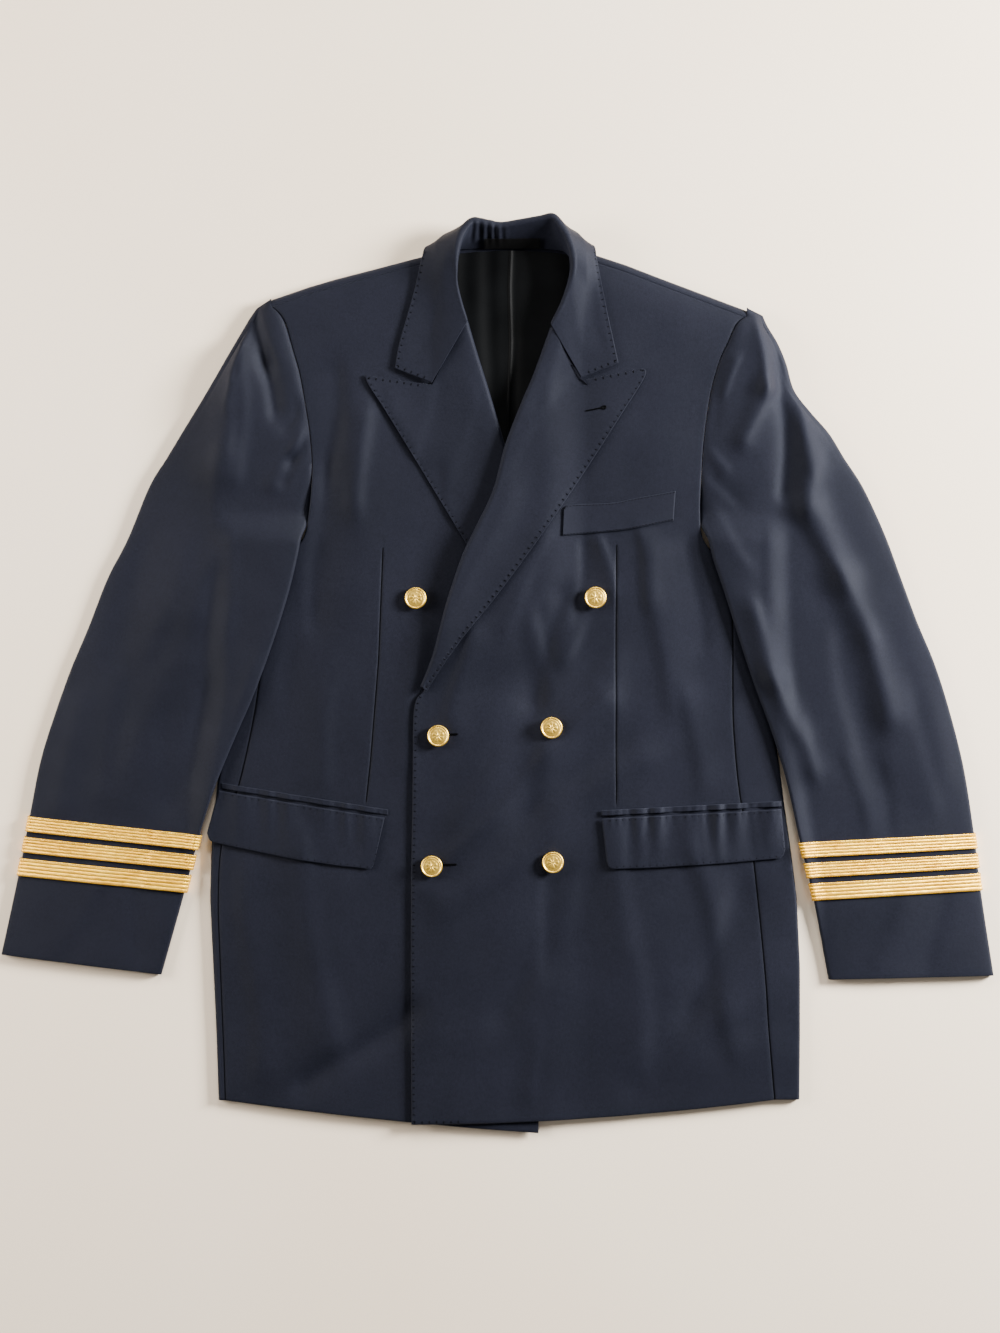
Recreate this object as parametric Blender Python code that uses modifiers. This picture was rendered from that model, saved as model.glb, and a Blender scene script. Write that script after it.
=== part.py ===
# Double-breasted uniform jacket, laid flat and face up on a table.
# Every piece that a maker cuts is one closed wall of cloth at its real size.
# Plan sizes are in millimetres: +X to the wearer's left, +Y to the collar, +Z up from the table.

from collections import namedtuple
from math import cos, pi, sin

import bmesh
import bpy
import numpy as np

MM = 0.001
CENTRING_Y = 1.8

# Cloth walls
WALL_BACK = 1.6
WALL_SIDE = 1.6
WALL_FRONT = 2.0
WALL_LINING = 1.0
WALL_LAPEL = 2.2
WALL_COLLAR = 2.2
WALL_SLEEVE = 1.8
WALL_FLAP = 2.0
WALL_JET = 1.4
WALL_WELT = 1.6
WALL_BRAID = 1.1
WALL_LABEL = 0.6

# Air between pieces
SEAM = 0.3
LAY = 0.6
OVERLAP = 1.3
SLEEVE_AIR = 1.2
ARMHOLE_GAP = 1.2
SHOULDER_SLANT = 2.4
BRAID_AIR = 0.8
PRESSED = 0.4

# Rounded edges of the folded cloth
SIDE_EDGE_RADIUS = 2.8
SHOULDER_EDGE_RADIUS = 6.0
COLLAR_ROLL_RADIUS = 4.0
SHOULDER_TURN = 1.2
SLEEVE_TUCK = 12.0
TUCK_GAP = 1.5
LAPEL_TUCK = 7.0
LAPEL_ROLL_RISE = 2.6
ARC_STEPS = 4
STAND_STEPS = 4
FALL_STEPS = 3

# The body
CENTRE_BACK_X = 11.0
UNDERLAP_X = 40.0
UNDERARM_Y = 105.0
BACK_HEM_Y = -392.0
NECK_LIFT = 3.3
NECK_LIFT_FROM_Y = 322.0
NECK_LIFT_TO_Y = 386.0
NECK_HALF_WIDTH = 75.0

# Buttons
BUTTON_RADIUS = 10.1
BUTTON_RIM = 0.9
BUTTON_THICK = 2.6
SHANK_RADIUS = 3.2
SHANK_LENGTH = 2.4
BUTTON_SIDES = 18

# Colours from the photograph: red, green, blue, roughness, metallic
FINISHES = {
    "cloth": (0.016, 0.019, 0.028, 0.72, 0.0),
    "lining": (0.006, 0.007, 0.008, 0.38, 0.0),
    "braid": (0.62, 0.40, 0.12, 0.42, 0.7),
    "button": (0.78, 0.56, 0.22, 0.30, 1.0),
    "label": (0.010, 0.010, 0.011, 0.55, 0.0),
}

# Height of the fronts' upper face above the table, a row for each height along the body
LOFT_X = (-230.0, -140.0, -50.0, 20.0, 110.0, 230.0)
Loft = namedtuple("Loft", "y far_right right centre_right centre_left left far_left")
LOFT = (
    Loft(-430, 6.8, 7.2, 6.8, 6.6, 7.2, 6.8),
    Loft(-300, 7.0, 7.6, 7.0, 6.6, 7.6, 7.2),
    Loft(-150, 7.4, 8.0, 7.2, 6.6, 8.0, 7.6),
    Loft(0, 7.8, 8.4, 7.2, 6.4, 8.4, 8.0),
    Loft(120, 9.2, 10.2, 7.6, 6.2, 10.0, 9.4),
    Loft(230, 12.0, 12.6, 9.0, 6.6, 12.4, 12.2),
    Loft(300, 15.0, 14.4, 11.6, 9.0, 14.4, 15.0),
    Loft(345, 17.5, 16.0, 13.6, 11.6, 16.0, 17.5),
    Loft(400, 18.0, 17.0, 15.0, 14.0, 17.0, 18.0),
)

# Largest folds: a soft ridge, or a trough where the height is negative, along a line
Fold = namedtuple("Fold", "x0 y0 x1 y1 height width")
BODY_FOLDS = (
    Fold(-35, -170, 95, -20, 1.8, 20),
    Fold(-58, -180, 15, -95, -1.0, 18),
    Fold(-90, -320, -180, -382, -1.4, 17),
    Fold(228, -210, 130, -380, -1.3, 22),
    Fold(58, 66, 35, -25, -1.3, 15),
    Fold(53, -185, 12, -320, -1.2, 15),
    Fold(-150, -200, -165, -330, 1.0, 26),
    Fold(150, -220, 175, -360, 1.2, 24),
    Fold(-120, 90, -130, 230, 1.2, 30),
    Fold(130, 60, 160, 210, 1.3, 30),
)
SLEEVE_RIGHT_FOLDS = (
    Fold(-242, 300, -258, 190, 3.4, 20),
    Fold(-258, 190, -285, 60, 2.6, 22),
    Fold(-223, 318, -207, 245, -2.0, 12),
    Fold(-176, 215, -206, 176, 2.2, 9),
    Fold(-330, 120, -352, 10, -1.6, 16),
    Fold(-300, 10, -352, -110, 2.0, 18),
    Fold(-262, -20, -300, -120, -1.4, 13),
    Fold(-392, -30, -408, -120, 1.6, 16),
)
SLEEVE_LEFT_FOLDS = (
    Fold(243, 315, 248, 265, 3.0, 11),
    Fold(248, 265, 228, 215, 2.6, 11),
    Fold(279, 265, 290, 155, 3.6, 13),
    Fold(290, 155, 322, 85, 3.4, 13),
    Fold(322, 85, 362, -40, 3.2, 14),
    Fold(236, 55, 254, -8, 2.6, 11),
    Fold(254, -8, 292, -88, 2.8, 12),
    Fold(264, 290, 267, 170, -2.2, 11),
    Fold(330, 40, 350, -100, -1.6, 14),
    Fold(398, 40, 420, -90, 1.6, 16),
)

# Outline of the body below the underarm, a row for each height
SideRow = namedtuple("SideRow", "y seam_x edge_x")
SIDE_RIGHT = (
    SideRow(105, -209.5, -240.0),
    SideRow(50, -214.5, -243.0),
    SideRow(-6, -220.5, -247.0),
    SideRow(-50, -227.5, -252.0),
    SideRow(-101, -239.0, -260.0),
    SideRow(-157, -255.5, -265.5),
    SideRow(-209, -259.0, -267.0),
    SideRow(-262, -257.5, -264.5),
    SideRow(-337, -254.5, -261.0),
    SideRow(-396, -252.5, -259.0),
)
SIDE_LEFT = (
    SideRow(105, 215.5, 246.0),
    SideRow(37, 218.0, 248.0),
    SideRow(-20, 218.0, 252.0),
    SideRow(-55, 219.0, 257.0),
    SideRow(-87, 222.5, 262.0),
    SideRow(-116, 225.0, 265.5),
    SideRow(-176, 237.5, 274.0),
    SideRow(-209, 241.0, 278.0),
    SideRow(-273, 247.5, 281.0),
    SideRow(-337, 252.0, 281.0),
    SideRow(-396, 257.0, 280.4),
)

# Lapels: the roll line, the middle and the outer edge, from the gorge down to the break
LapelRow = namedtuple("LapelRow", "roll_x roll_y mid_x mid_y edge_x edge_y rise tuck")
LAPEL_RIGHT = (
    LapelRow(-27.4, 325.8, -60.4, 266.7, -122.3, 275.2, 1.0, 1.0),
    LapelRow(-18.0, 294.0, -64.0, 252.0, -119.0, 266.0, 1.0, 1.0),
    LapelRow(-8.0, 262.0, -58.0, 234.0, -104.0, 243.0, 1.0, 1.0),
    LapelRow(7.0, 211.0, -36.0, 192.0, -76.0, 197.5, 0.8, 1.0),
    LapelRow(19.0, 165.0, -14.0, 155.0, -49.0, 153.0, 0.4, 1.0),
    LapelRow(28.0, 118.0, 3.0, 112.0, -22.5, 110.0, 0.2, 0.8),
    LapelRow(35.0, 70.0, 22.0, 68.0, 8.0, 66.0, 0.1, 0.4),
    LapelRow(37.0, 42.0, 33.0, 41.0, 28.0, 40.0, 0.0, 0.1),
)
LAPEL_LEFT = (
    LapelRow(48.6, 319.0, 77.4, 270.4, 134.0, 281.4, 1.0, 1.0),
    LapelRow(43.0, 303.0, 86.0, 261.0, 136.2, 274.0, 1.0, 1.0),
    LapelRow(32.1, 273.4, 74.0, 245.0, 113.5, 237.5, 1.0, 1.0),
    LapelRow(22.4, 251.0, 60.0, 225.0, 94.4, 207.4, 1.0, 1.0),
    LapelRow(7.0, 211.0, 40.0, 189.0, 71.5, 172.5, 1.0, 1.0),
    LapelRow(-4.2, 169.3, 23.0, 150.0, 46.5, 136.0, 1.0, 1.0),
    LapelRow(-19.3, 136.7, 2.0, 115.0, 18.6, 97.1, 1.0, 1.0),
    LapelRow(-32.6, 108.8, -18.0, 87.0, -5.0, 66.0, 0.9, 0.9),
    LapelRow(-47.9, 63.2, -39.0, 48.0, -31.0, 34.0, 0.7, 0.6),
    LapelRow(-60.0, 17.0, -55.5, 11.0, -51.0, 6.0, 0.4, 0.25),
    LapelRow(-71.5, -12.5, -68.6, -14.7, -65.7, -16.8, 0.1, 0.1),
)

# Fronts: the inner edge at the neck and front, the outer edge at the armhole and side seam
FrontRow = namedtuple("FrontRow", "inner_x inner_y outer_x outer_y sag")
NECK_RIGHT = (
    FrontRow(-54.0, 379.0, -208.5, 342.0, 0.0),
    FrontRow(-51.0, 362.0, -197.0, 326.0, 0.0),
    FrontRow(-48.0, 346.0, -189.5, 300.0, 0.0),
)
ARMHOLE_RIGHT = ((-183.0, 277.0), (-178.0, 250.0), (-173.5, 220.0), (-171.5, 190.0),
                 (-174.5, 150.0), (-180.0, 125.0), (-194.0, 111.0), (-209.0, 104.0))
FRONT_RIGHT = (
    FrontRow(40.0, 5.0, -214.5, 50.0, 0.0),
    FrontRow(40.0, -40.0, -220.5, -6.0, 0.0),
    FrontRow(40.0, -75.0, -227.5, -50.0, 0.0),
    FrontRow(40.0, -115.0, -239.0, -101.0, 0.0),
    FrontRow(40.0, -165.0, -255.5, -157.0, 0.0),
    FrontRow(39.5, -215.0, -259.0, -209.0, 0.0),
    FrontRow(39.0, -280.0, -257.5, -262.0, 0.0),
    FrontRow(38.5, -355.0, -254.5, -337.0, 0.0),
    FrontRow(38.0, -427.0, -252.5, -396.5, -2.5),
)
NECK_LEFT = (
    FrontRow(77.0, 377.0, 229.5, 333.5, 0.0),
    FrontRow(75.0, 360.0, 220.5, 322.6, 0.0),
    FrontRow(71.0, 344.0, 213.4, 306.0, 0.0),
)
ARMHOLE_LEFT = ((206.0, 290.0), (198.6, 265.0), (194.0, 240.0), (190.6, 211.0), (188.5, 180.0),
                (187.5, 150.0), (190.0, 126.0), (201.0, 111.0), (215.5, 104.0),
                (217.5, 62.0), (218.0, 30.0))
FRONT_LEFT = (
    FrontRow(-75.0, -24.5, 218.0, 3.0, 0.0),
    FrontRow(-78.0, -42.0, 218.0, -17.0, 0.0),
    FrontRow(-78.5, -78.0, 219.0, -55.0, -1.0),
    FrontRow(-79.0, -130.0, 225.0, -116.0, -2.0),
    FrontRow(-80.0, -185.0, 237.5, -176.0, -3.0),
    FrontRow(-80.4, -270.0, 247.5, -273.0, -4.0),
    FrontRow(-80.2, -345.0, 252.0, -337.0, -6.0),
    FrontRow(-79.8, -418.5, 257.0, -396.0, -5.5),
)

# Side seams of the back, straight from the underarm to the hem
BackSeam = namedtuple("BackSeam", "hem_x hem_y top_x top_y")
BACK_SEAM_RIGHT = BackSeam(-221.0, -396.0, -202.0, 110.0)
BACK_SEAM_LEFT = BackSeam(243.0, -396.0, 208.0, 110.0)

# Line of the shoulders and the back of the neck
ShoulderPoint = namedtuple("ShoulderPoint", "x y")
SHOULDER_LINE = (
    ShoulderPoint(-225, 338.0), ShoulderPoint(-212, 345.0), ShoulderPoint(-176, 357.4),
    ShoulderPoint(-152, 364.6), ShoulderPoint(-109, 375.7), ShoulderPoint(-70, 386.0),
    ShoulderPoint(-45, 387.0), ShoulderPoint(-24, 390.8), ShoulderPoint(11, 391.8),
    ShoulderPoint(36, 391.5), ShoulderPoint(62, 387.5), ShoulderPoint(89.7, 388.0),
    ShoulderPoint(120, 378.0), ShoulderPoint(151, 366.0),
    ShoulderPoint(232, 335.5), ShoulderPoint(245, 328.0),
)
ARMHOLE_BACK_RIGHT = ((-208.3, 340.3), (-196.5, 324.0), (-186.0, 301.0), (-179.0, 277.0),
                      (-173.0, 250.0), (-168.5, 220.0), (-167.5, 190.0), (-169.0, 150.0),
                      (-182.0, 122.0))
ARMHOLE_BACK_LEFT = ((229.2, 330.6), (219.0, 318.6), (209.0, 306.0), (201.0, 290.0), (194.0, 265.0),
                     (189.0, 240.0), (186.0, 211.0), (184.0, 180.0), (182.5, 150.0), (186.0, 118.0))

# Collar: neck seam, roll line, middle and outer edge of the fall, round the neck
CollarRow = namedtuple(
    "CollarRow",
    "seam_x seam_y seam_z roll_x roll_y roll_z mid_x mid_y mid_z edge_x edge_y edge_z rests",
)
COLLAR = (
    CollarRow(-31, 330.5, 11.0, -27.9, 327.2, 19.5, -60.9, 268.2, 15.0, -94.9, 281.8, 15.0, 1),
    CollarRow(-38, 345, 11.5, -33.5, 346, 21.5, -61.5, 300, 15.0, -91.0, 304.0, 15.0, 1),
    CollarRow(-43, 362, 12.0, -36.7, 361, 24.0, -60, 327, 17.0, -83.0, 332.0, 15.0, 1),
    CollarRow(-45, 374, 12.0, -36.5, 372.5, 27.0, -57, 352, 21.0, -76.0, 357.0, 16.0, 1),
    CollarRow(-46, 385, 11.0, -35.5, 385.5, 30.0, -55, 379, 25.0, -70.0, 384.0, 17.0, 1),
    CollarRow(-43, 390, 9.0, -33.0, 399, 30.5, -57, 397, 19.0, -65.5, 396.0, 8.0, 0),
    CollarRow(-36, 392.5, 7.0, -29.0, 410.5, 29.0, -44, 409, 9.0, -52.0, 395.0, 1.0, 0),
    CollarRow(-24, 393.5, 5.6, -22.0, 418.4, 26.0, -27, 408, 0.0, -32.0, 382.0, 0.0, 0),
    CollarRow(-8, 394, 5.2, -8.0, 416.8, 23.0, -9, 405, 0.0, -10.0, 378.0, 0.0, 0),
    CollarRow(4, 394, 5.2, 3.3, 415, 21.5, 4, 404, 0.0, 4.0, 377.0, 0.0, 0),
    CollarRow(20, 394, 5.2, 20.0, 417.3, 23.0, 20, 406, 0.0, 20.0, 377.0, 0.0, 0),
    CollarRow(36, 394, 5.6, 38.0, 420, 26.0, 39, 409, 0.0, 38.0, 379.0, 0.0, 0),
    CollarRow(51, 392.5, 7.0, 51.0, 421.4, 29.0, 57, 413, 3.0, 60.0, 388.0, 0.0, 0),
    CollarRow(61, 390.5, 8.5, 60.0, 409, 31.0, 72, 409, 12.0, 80.5, 395.0, 2.0, 0),
    CollarRow(66, 385.5, 10.5, 65.0, 396, 31.0, 80, 397.5, 20.0, 89.5, 396.0, 9.0, 0),
    CollarRow(69, 378, 11.5, 67.5, 382, 30.0, 82, 377, 25.0, 92.0, 382.0, 17.5, 1),
    CollarRow(69, 366, 11.5, 67.0, 368, 27.0, 82, 354, 21.0, 96.5, 358.0, 16.0, 1),
    CollarRow(65, 351, 11.5, 61.5, 350.0, 24.0, 80.5, 325, 17.0, 101.5, 333.0, 15.0, 1),
    CollarRow(59, 339, 11.0, 56.5, 338.0, 21.5, 79.5, 298, 15.0, 106.8, 309.0, 15.0, 1),
    CollarRow(53, 330, 10.5, 50.9, 325.9, 19.5, 78.8, 274.2, 15.0, 112.0, 286.5, 15.0, 1),
)
COLLAR_SECTIONS = 27

# Sleeves: outer and inner edges of each cross row, from the shoulder down to the cuff
SleeveRow = namedtuple("SleeveRow", "outer_x outer_y inner_x inner_y radius crown folded")
SLEEVE_RIGHT = (
    SleeveRow(-224.0, 337.5, -211.0, 346.0, 4.0, 0.5, 0.0),
    SleeveRow(-230.6, 327.8, -198.0, 325.5, 5.0, 4.0, 0.0),
    SleeveRow(-249.0, 296.7, -190.2, 299.5, 5.0, 6.0, 0.0),
    SleeveRow(-263.0, 272.5, -183.7, 276.5, 4.8, 6.4, 0.0),
    SleeveRow(-276.7, 249.2, -178.7, 249.5, 4.6, 6.4, 0.0),
    SleeveRow(-291.0, 226.0, -174.2, 219.5, 4.2, 6.0, 0.0),
    SleeveRow(-308.0, 198.0, -173.2, 188.0, 3.8, 5.4, 0.15),
    SleeveRow(-323.2, 173.0, -177.2, 153.5, 3.6, 4.6, 1.0),
    SleeveRow(-343.6, 123.7, -184.5, 110.0, 3.4, 4.0, 1.0),
    SleeveRow(-362.0, 88.0, -195.0, 68.0, 3.2, 3.6, 1.0),
    SleeveRow(-380.0, 42.0, -210.0, 22.0, 3.0, 3.2, 1.0),
    SleeveRow(-396.0, 4.0, -226.0, -21.0, 3.0, 3.0, 1.0),
    SleeveRow(-411.0, -38.0, -243.0, -60.0, 3.0, 2.8, 1.0),
    SleeveRow(-424.5, -82.0, -259.5, -100.0, 3.0, 2.6, 1.0),
    SleeveRow(-434.5, -133.0, -276.2, -150.2, 3.0, 2.2, 1.0),
    SleeveRow(-445.0, -188.0, -290.6, -203.7, 3.0, 2.0, 1.0),
    SleeveRow(-460.8, -261.3, -312.0, -280.0, 3.0, 1.8, 1.0),
)
SLEEVE_LEFT = (
    SleeveRow(246.5, 331.0, 232.5, 338.0, 4.0, 0.5, 0.0),
    SleeveRow(251.0, 321.0, 224.0, 323.4, 5.0, 4.0, 0.0),
    SleeveRow(260.0, 306.0, 214.2, 305.5, 5.0, 6.0, 0.0),
    SleeveRow(268.0, 287.0, 206.8, 289.5, 4.8, 6.4, 0.0),
    SleeveRow(275.5, 262.0, 199.3, 264.5, 4.6, 6.4, 0.0),
    SleeveRow(291.5, 241.0, 194.7, 239.5, 4.4, 6.2, 0.0),
    SleeveRow(308.0, 222.0, 191.2, 210.5, 4.2, 5.8, 0.0),
    SleeveRow(322.5, 198.5, 190.3, 178.0, 3.8, 5.2, 0.15),
    SleeveRow(339.5, 172.0, 191.3, 148.8, 3.6, 4.6, 1.0),
    SleeveRow(359.5, 129.0, 197.5, 112.0, 3.4, 4.2, 1.0),
    SleeveRow(374.0, 90.0, 210.0, 74.0, 3.2, 3.8, 1.0),
    SleeveRow(390.0, 47.0, 223.7, 30.7, 3.0, 3.4, 1.0),
    SleeveRow(406.0, 8.5, 238.0, -12.0, 3.0, 3.0, 1.0),
    SleeveRow(419.5, -34.0, 253.5, -54.0, 3.0, 2.8, 1.0),
    SleeveRow(433.0, -88.0, 267.5, -100.0, 3.0, 2.6, 1.0),
    SleeveRow(442.5, -148.8, 280.4, -157.2, 3.0, 2.2, 1.0),
    SleeveRow(448.8, -201.8, 293.4, -211.1, 3.0, 2.0, 1.0),
    SleeveRow(460.8, -280.9, 307.4, -284.6, 3.0, 1.8, 1.0),
)
SLEEVE_SECTIONS = 24
SLEEVE_STEPS = 9
BRAID_COUNT = 3
BRAID_WIDTH_SHARE = 0.27
BRAID_PITCH_SHARE = 0.365

# Hip pockets: corners of the jet and of the flap below it
FlapRow = namedtuple("FlapRow", "top_x top_y bottom_x bottom_y")
FLAP_RIGHT = (
    FlapRow(-258.5, -109.0, -269.5, -148.5),
    FlapRow(-255.5, -109.6, -264.5, -157.0),
    FlapRow(-190.0, -120.6, -193.0, -171.5),
    FlapRow(-150.0, -127.0, -151.0, -178.0),
    FlapRow(-112.0, -133.0, -121.0, -181.5),
    FlapRow(-104.5, -134.0, -114.0, -174.5),
)
FLAP_LEFT = (
    FlapRow(96.3, -135.0, 100.9, -174.8),
    FlapRow(102.0, -134.5, 109.5, -181.5),
    FlapRow(150.0, -132.2, 152.0, -180.0),
    FlapRow(205.0, -129.4, 206.0, -176.4),
    FlapRow(256.0, -126.5, 258.5, -172.2),
    FlapRow(263.5, -125.8, 266.8, -163.0),
)
JET_DEPTH = 5.2
JET_RIGHT = ((-256.0, -102.0), (-101.5, -126.6))
JET_LEFT = ((96.3, -127.2), (264.0, -118.6))
WELT_TOP = ((61.5, 152.0), (69.0, 155.8), (106.0, 157.4), (126.0, 161.3), (164.8, 168.3))
WELT_BOTTOM = ((60.5, 127.0), (68.0, 127.6), (107.0, 131.1), (124.0, 133.2), (162.9, 141.2))

# Centres of the buttons, and the cloth that each is sewn to
ButtonPlace = namedtuple("ButtonPlace", "name x y on air")
BUTTONS = (
    ButtonPlace("button_top_right", -75.8, 69.3, "right", 0.5),
    ButtonPlace("button_top_left", 90.7, 69.8, "left", 0.5),
    ButtonPlace("button_middle_right", -54.9, -58.1, "left", 0.5),
    ButtonPlace("button_middle_left", 50.0, -50.7, "left", 0.1),
    ButtonPlace("button_lower_right", -60.9, -178.8, "left", 0.9),
    ButtonPlace("button_lower_left", 51.2, -175.2, "left", 0.5),
)

LINING_X = (-51.0, 73.0)
LINING_Y = (196.0, 391.5)
LABEL_X = (-12.5, 39.5)
LABEL_HEIGHT = 11.0


def step(value, start, end):
    t = np.clip((value - start) / (end - start), 0.0, 1.0)
    return t * t * (3.0 - 2.0 * t)


def through(rows, at):
    """A smooth curve through table rows, read at row numbers that may be fractions."""
    rows = np.array(rows, float)
    at = np.clip(np.atleast_1d(np.asarray(at, float)), 0.0, len(rows) - 1.0)
    low = np.minimum(at.astype(int), len(rows) - 2)
    t = (at - low)[:, None]
    before = rows[np.maximum(low - 1, 0)]
    here = rows[low]
    after = rows[low + 1]
    beyond = rows[np.minimum(low + 2, len(rows) - 1)]
    return 0.5 * (
        2.0 * here
        + (after - before) * t
        + (2.0 * before - 5.0 * here + 4.0 * after - beyond) * t ** 2
        + (3.0 * here - before - 3.0 * after + beyond) * t ** 3
    )


def edge_at(rows, y, column):
    ordered = sorted(rows, key=lambda row: row.y)
    return np.interp(y, [row.y for row in ordered], [getattr(row, column) for row in ordered])


def shoulder_y(x):
    return np.interp(x, [p.x for p in SHOULDER_LINE], [p.y for p in SHOULDER_LINE])


def fold_height(x, y, folds):
    total = np.zeros(np.broadcast(x, y).shape)
    for f in folds:
        run = np.array((f.x1 - f.x0, f.y1 - f.y0))
        length = np.hypot(*run)
        along = ((x - f.x0) * run[0] + (y - f.y0) * run[1]) / length
        across = ((x - f.x0) * run[1] - (y - f.y0) * run[0]) / length
        beyond = np.maximum(np.maximum(-along, along - length), 0.0)
        total = total + f.height * np.exp(-(across / f.width) ** 2 - (beyond / f.width) ** 2)
    return total


def loft_height(x, y):
    """The table of heights, read smoothly along the body and straight across it."""
    stations = [row.y for row in LOFT]
    at = np.interp(y, stations, range(len(stations)))
    flat = through([row[1:] for row in LOFT], np.ravel(at))
    place = np.interp(np.ravel(x), LOFT_X, range(len(LOFT_X)))
    low = np.minimum(place.astype(int), len(LOFT_X) - 2)
    t = step(place - low, 0.0, 1.0)
    rows = np.arange(len(flat))
    height = flat[rows, low] * (1.0 - t) + flat[rows, low + 1] * t
    return height.reshape(np.shape(x))


def body_top(x, y):
    """Upper face of the fronts before any overlap: the loft, eased down at the folded edges."""
    x, y = np.broadcast_arrays(np.asarray(x, float), np.asarray(y, float))
    height = loft_height(x, y)
    for side, rows in ((1.0, SIDE_RIGHT), (-1.0, SIDE_LEFT)):
        inside = side * (x - edge_at(rows, y, "edge_x")) - SIDE_EDGE_RADIUS
        ease = np.exp(-np.maximum(inside, 0.0) / 28.0) * step(y, UNDERARM_Y + 80.0, UNDERARM_Y)
        height = height + (2.0 * SIDE_EDGE_RADIUS - height) * ease
    inside = shoulder_y(x) - SHOULDER_EDGE_RADIUS - y
    ease = np.exp(-np.maximum(inside, 0.0) / 24.0)
    height = height + (2.0 * SHOULDER_EDGE_RADIUS - height) * ease
    calm = step(inside, 0.0, 40.0)
    return height + calm * fold_height(x, y, BODY_FOLDS)


def right_top(x, y):
    return body_top(x, y)


def left_top(x, y):
    """The left front climbs over the right front, and over its lapel at the chest."""
    over = 1.0 - step(x, UNDERLAP_X + 4.0, UNDERLAP_X + 46.0)
    lapel = step(y, -20.0, 45.0) * (1.0 - step(y, 240.0, 300.0)) * (1.0 - step(x, 38.0, 84.0))
    hidden = WALL_LAPEL + LAY + LAPEL_ROLL_RISE
    return body_top(x, y) + (WALL_FRONT + OVERLAP) * over + hidden * lapel


def outer_top(x, y):
    """Upper face of whichever front lies on top at this place."""
    return np.where(np.asarray(x) > -20.0, left_top(x, y), right_top(x, y))


def back_lift(x, y):
    """The back neck is raised by the collar's fall, which lies under it."""
    near = 1.0 - step(np.abs(x - CENTRE_BACK_X), NECK_HALF_WIDTH - 13.0, NECK_HALF_WIDTH + 5.0)
    return NECK_LIFT * near * step(y, NECK_LIFT_FROM_Y, NECK_LIFT_TO_Y)


def sleeve_base(x, y, side):
    """What a sleeve lies on: the table, or the body's side below the underarm."""
    rows = SIDE_RIGHT if side < 0 else SIDE_LEFT
    inside = -side * (x - edge_at(rows, y, "edge_x"))
    over = step(inside, -26.0, -2.0) * step(y, UNDERARM_Y + 46.0, UNDERARM_Y + 14.0)
    return over * (body_top(x, y) + SLEEVE_AIR)


def material_of(finish):
    found = bpy.data.materials.get(finish)
    if found:
        return found
    red, green, blue, roughness, metallic = FINISHES[finish]
    made = bpy.data.materials.new(finish)
    made.use_nodes = True
    shader = made.node_tree.nodes["Principled BSDF"]
    shader.inputs["Base Color"].default_value = (red, green, blue, 1.0)
    shader.inputs["Roughness"].default_value = roughness
    shader.inputs["Metallic"].default_value = metallic
    made.diffuse_color = (red, green, blue, 1.0)
    return made


def clear_scene():
    for obj in list(bpy.data.objects):
        bpy.data.objects.remove(obj, do_unlink=True)


def add_object(name, mesh, finish):
    obj = bpy.data.objects.new(name, mesh)
    obj.data.materials.append(material_of(finish))
    bpy.data.collections["uniform_jacket"].objects.link(obj)
    obj.parent = bpy.data.objects["jacket_origin"]
    mesh.shade_smooth()
    mesh.set_sharp_from_angle(angle=0.9)
    return obj


def cloth(name, points, wall, finish, flip=False):
    """A wall of cloth from a grid of points on its outer face, rows by columns."""
    points = np.asarray(points, float)
    rows, columns = points.shape[:2]
    mesh = bpy.data.meshes.new(name)
    sheet = bmesh.new()
    bmesh.ops.create_grid(sheet, x_segments=columns - 1, y_segments=rows - 1, size=1.0)
    for vertex in sheet.verts:
        column = round((vertex.co.x + 1.0) / 2.0 * (columns - 1))
        row = round((vertex.co.y + 1.0) / 2.0 * (rows - 1))
        vertex.co = [float(c) * MM for c in points[row, column]]
    if flip:
        bmesh.ops.reverse_faces(sheet, faces=sheet.faces)
    sheet.to_mesh(mesh)
    sheet.free()
    obj = add_object(name, mesh, finish)
    shell = obj.modifiers.new("wall", "SOLIDIFY")
    shell.thickness = wall * MM
    shell.offset = -1.0
    return obj


def grid_on(plan, height):
    """Plan points, rows by columns, set at a height worked out from their place."""
    z = height(plan[..., 0], plan[..., 1])
    return np.dstack((plan, z))


def rows_between(first, last, count):
    """Straight rows of plan points from one edge to the other."""
    t = np.linspace(0.0, 1.0, count)[None, :, None]
    return first[:, None, :] * (1.0 - t) + last[:, None, :] * t


def lapel_rolls(table, marks):
    """For each mark down a lapel: its row, the centre of its roll, the direction square to it, the radius."""
    rows = through(table, marks)
    ahead = through(table, np.asarray(marks) + 0.1)
    behind = through(table, np.asarray(marks) - 0.1)
    found = []
    for row, near, far in zip(rows, behind, ahead):
        run = far[:2] - near[:2]
        across = np.array((-run[1], run[0])) / np.hypot(*run)
        if np.dot(across, row[4:6] - row[:2]) < 0.0:
            across = -across
        radius = WALL_LAPEL + 0.5 * LAY + 0.5 * LAPEL_ROLL_RISE * row[6]
        found.append((row, row[:2] + across * radius, across, radius))
    return found


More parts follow.
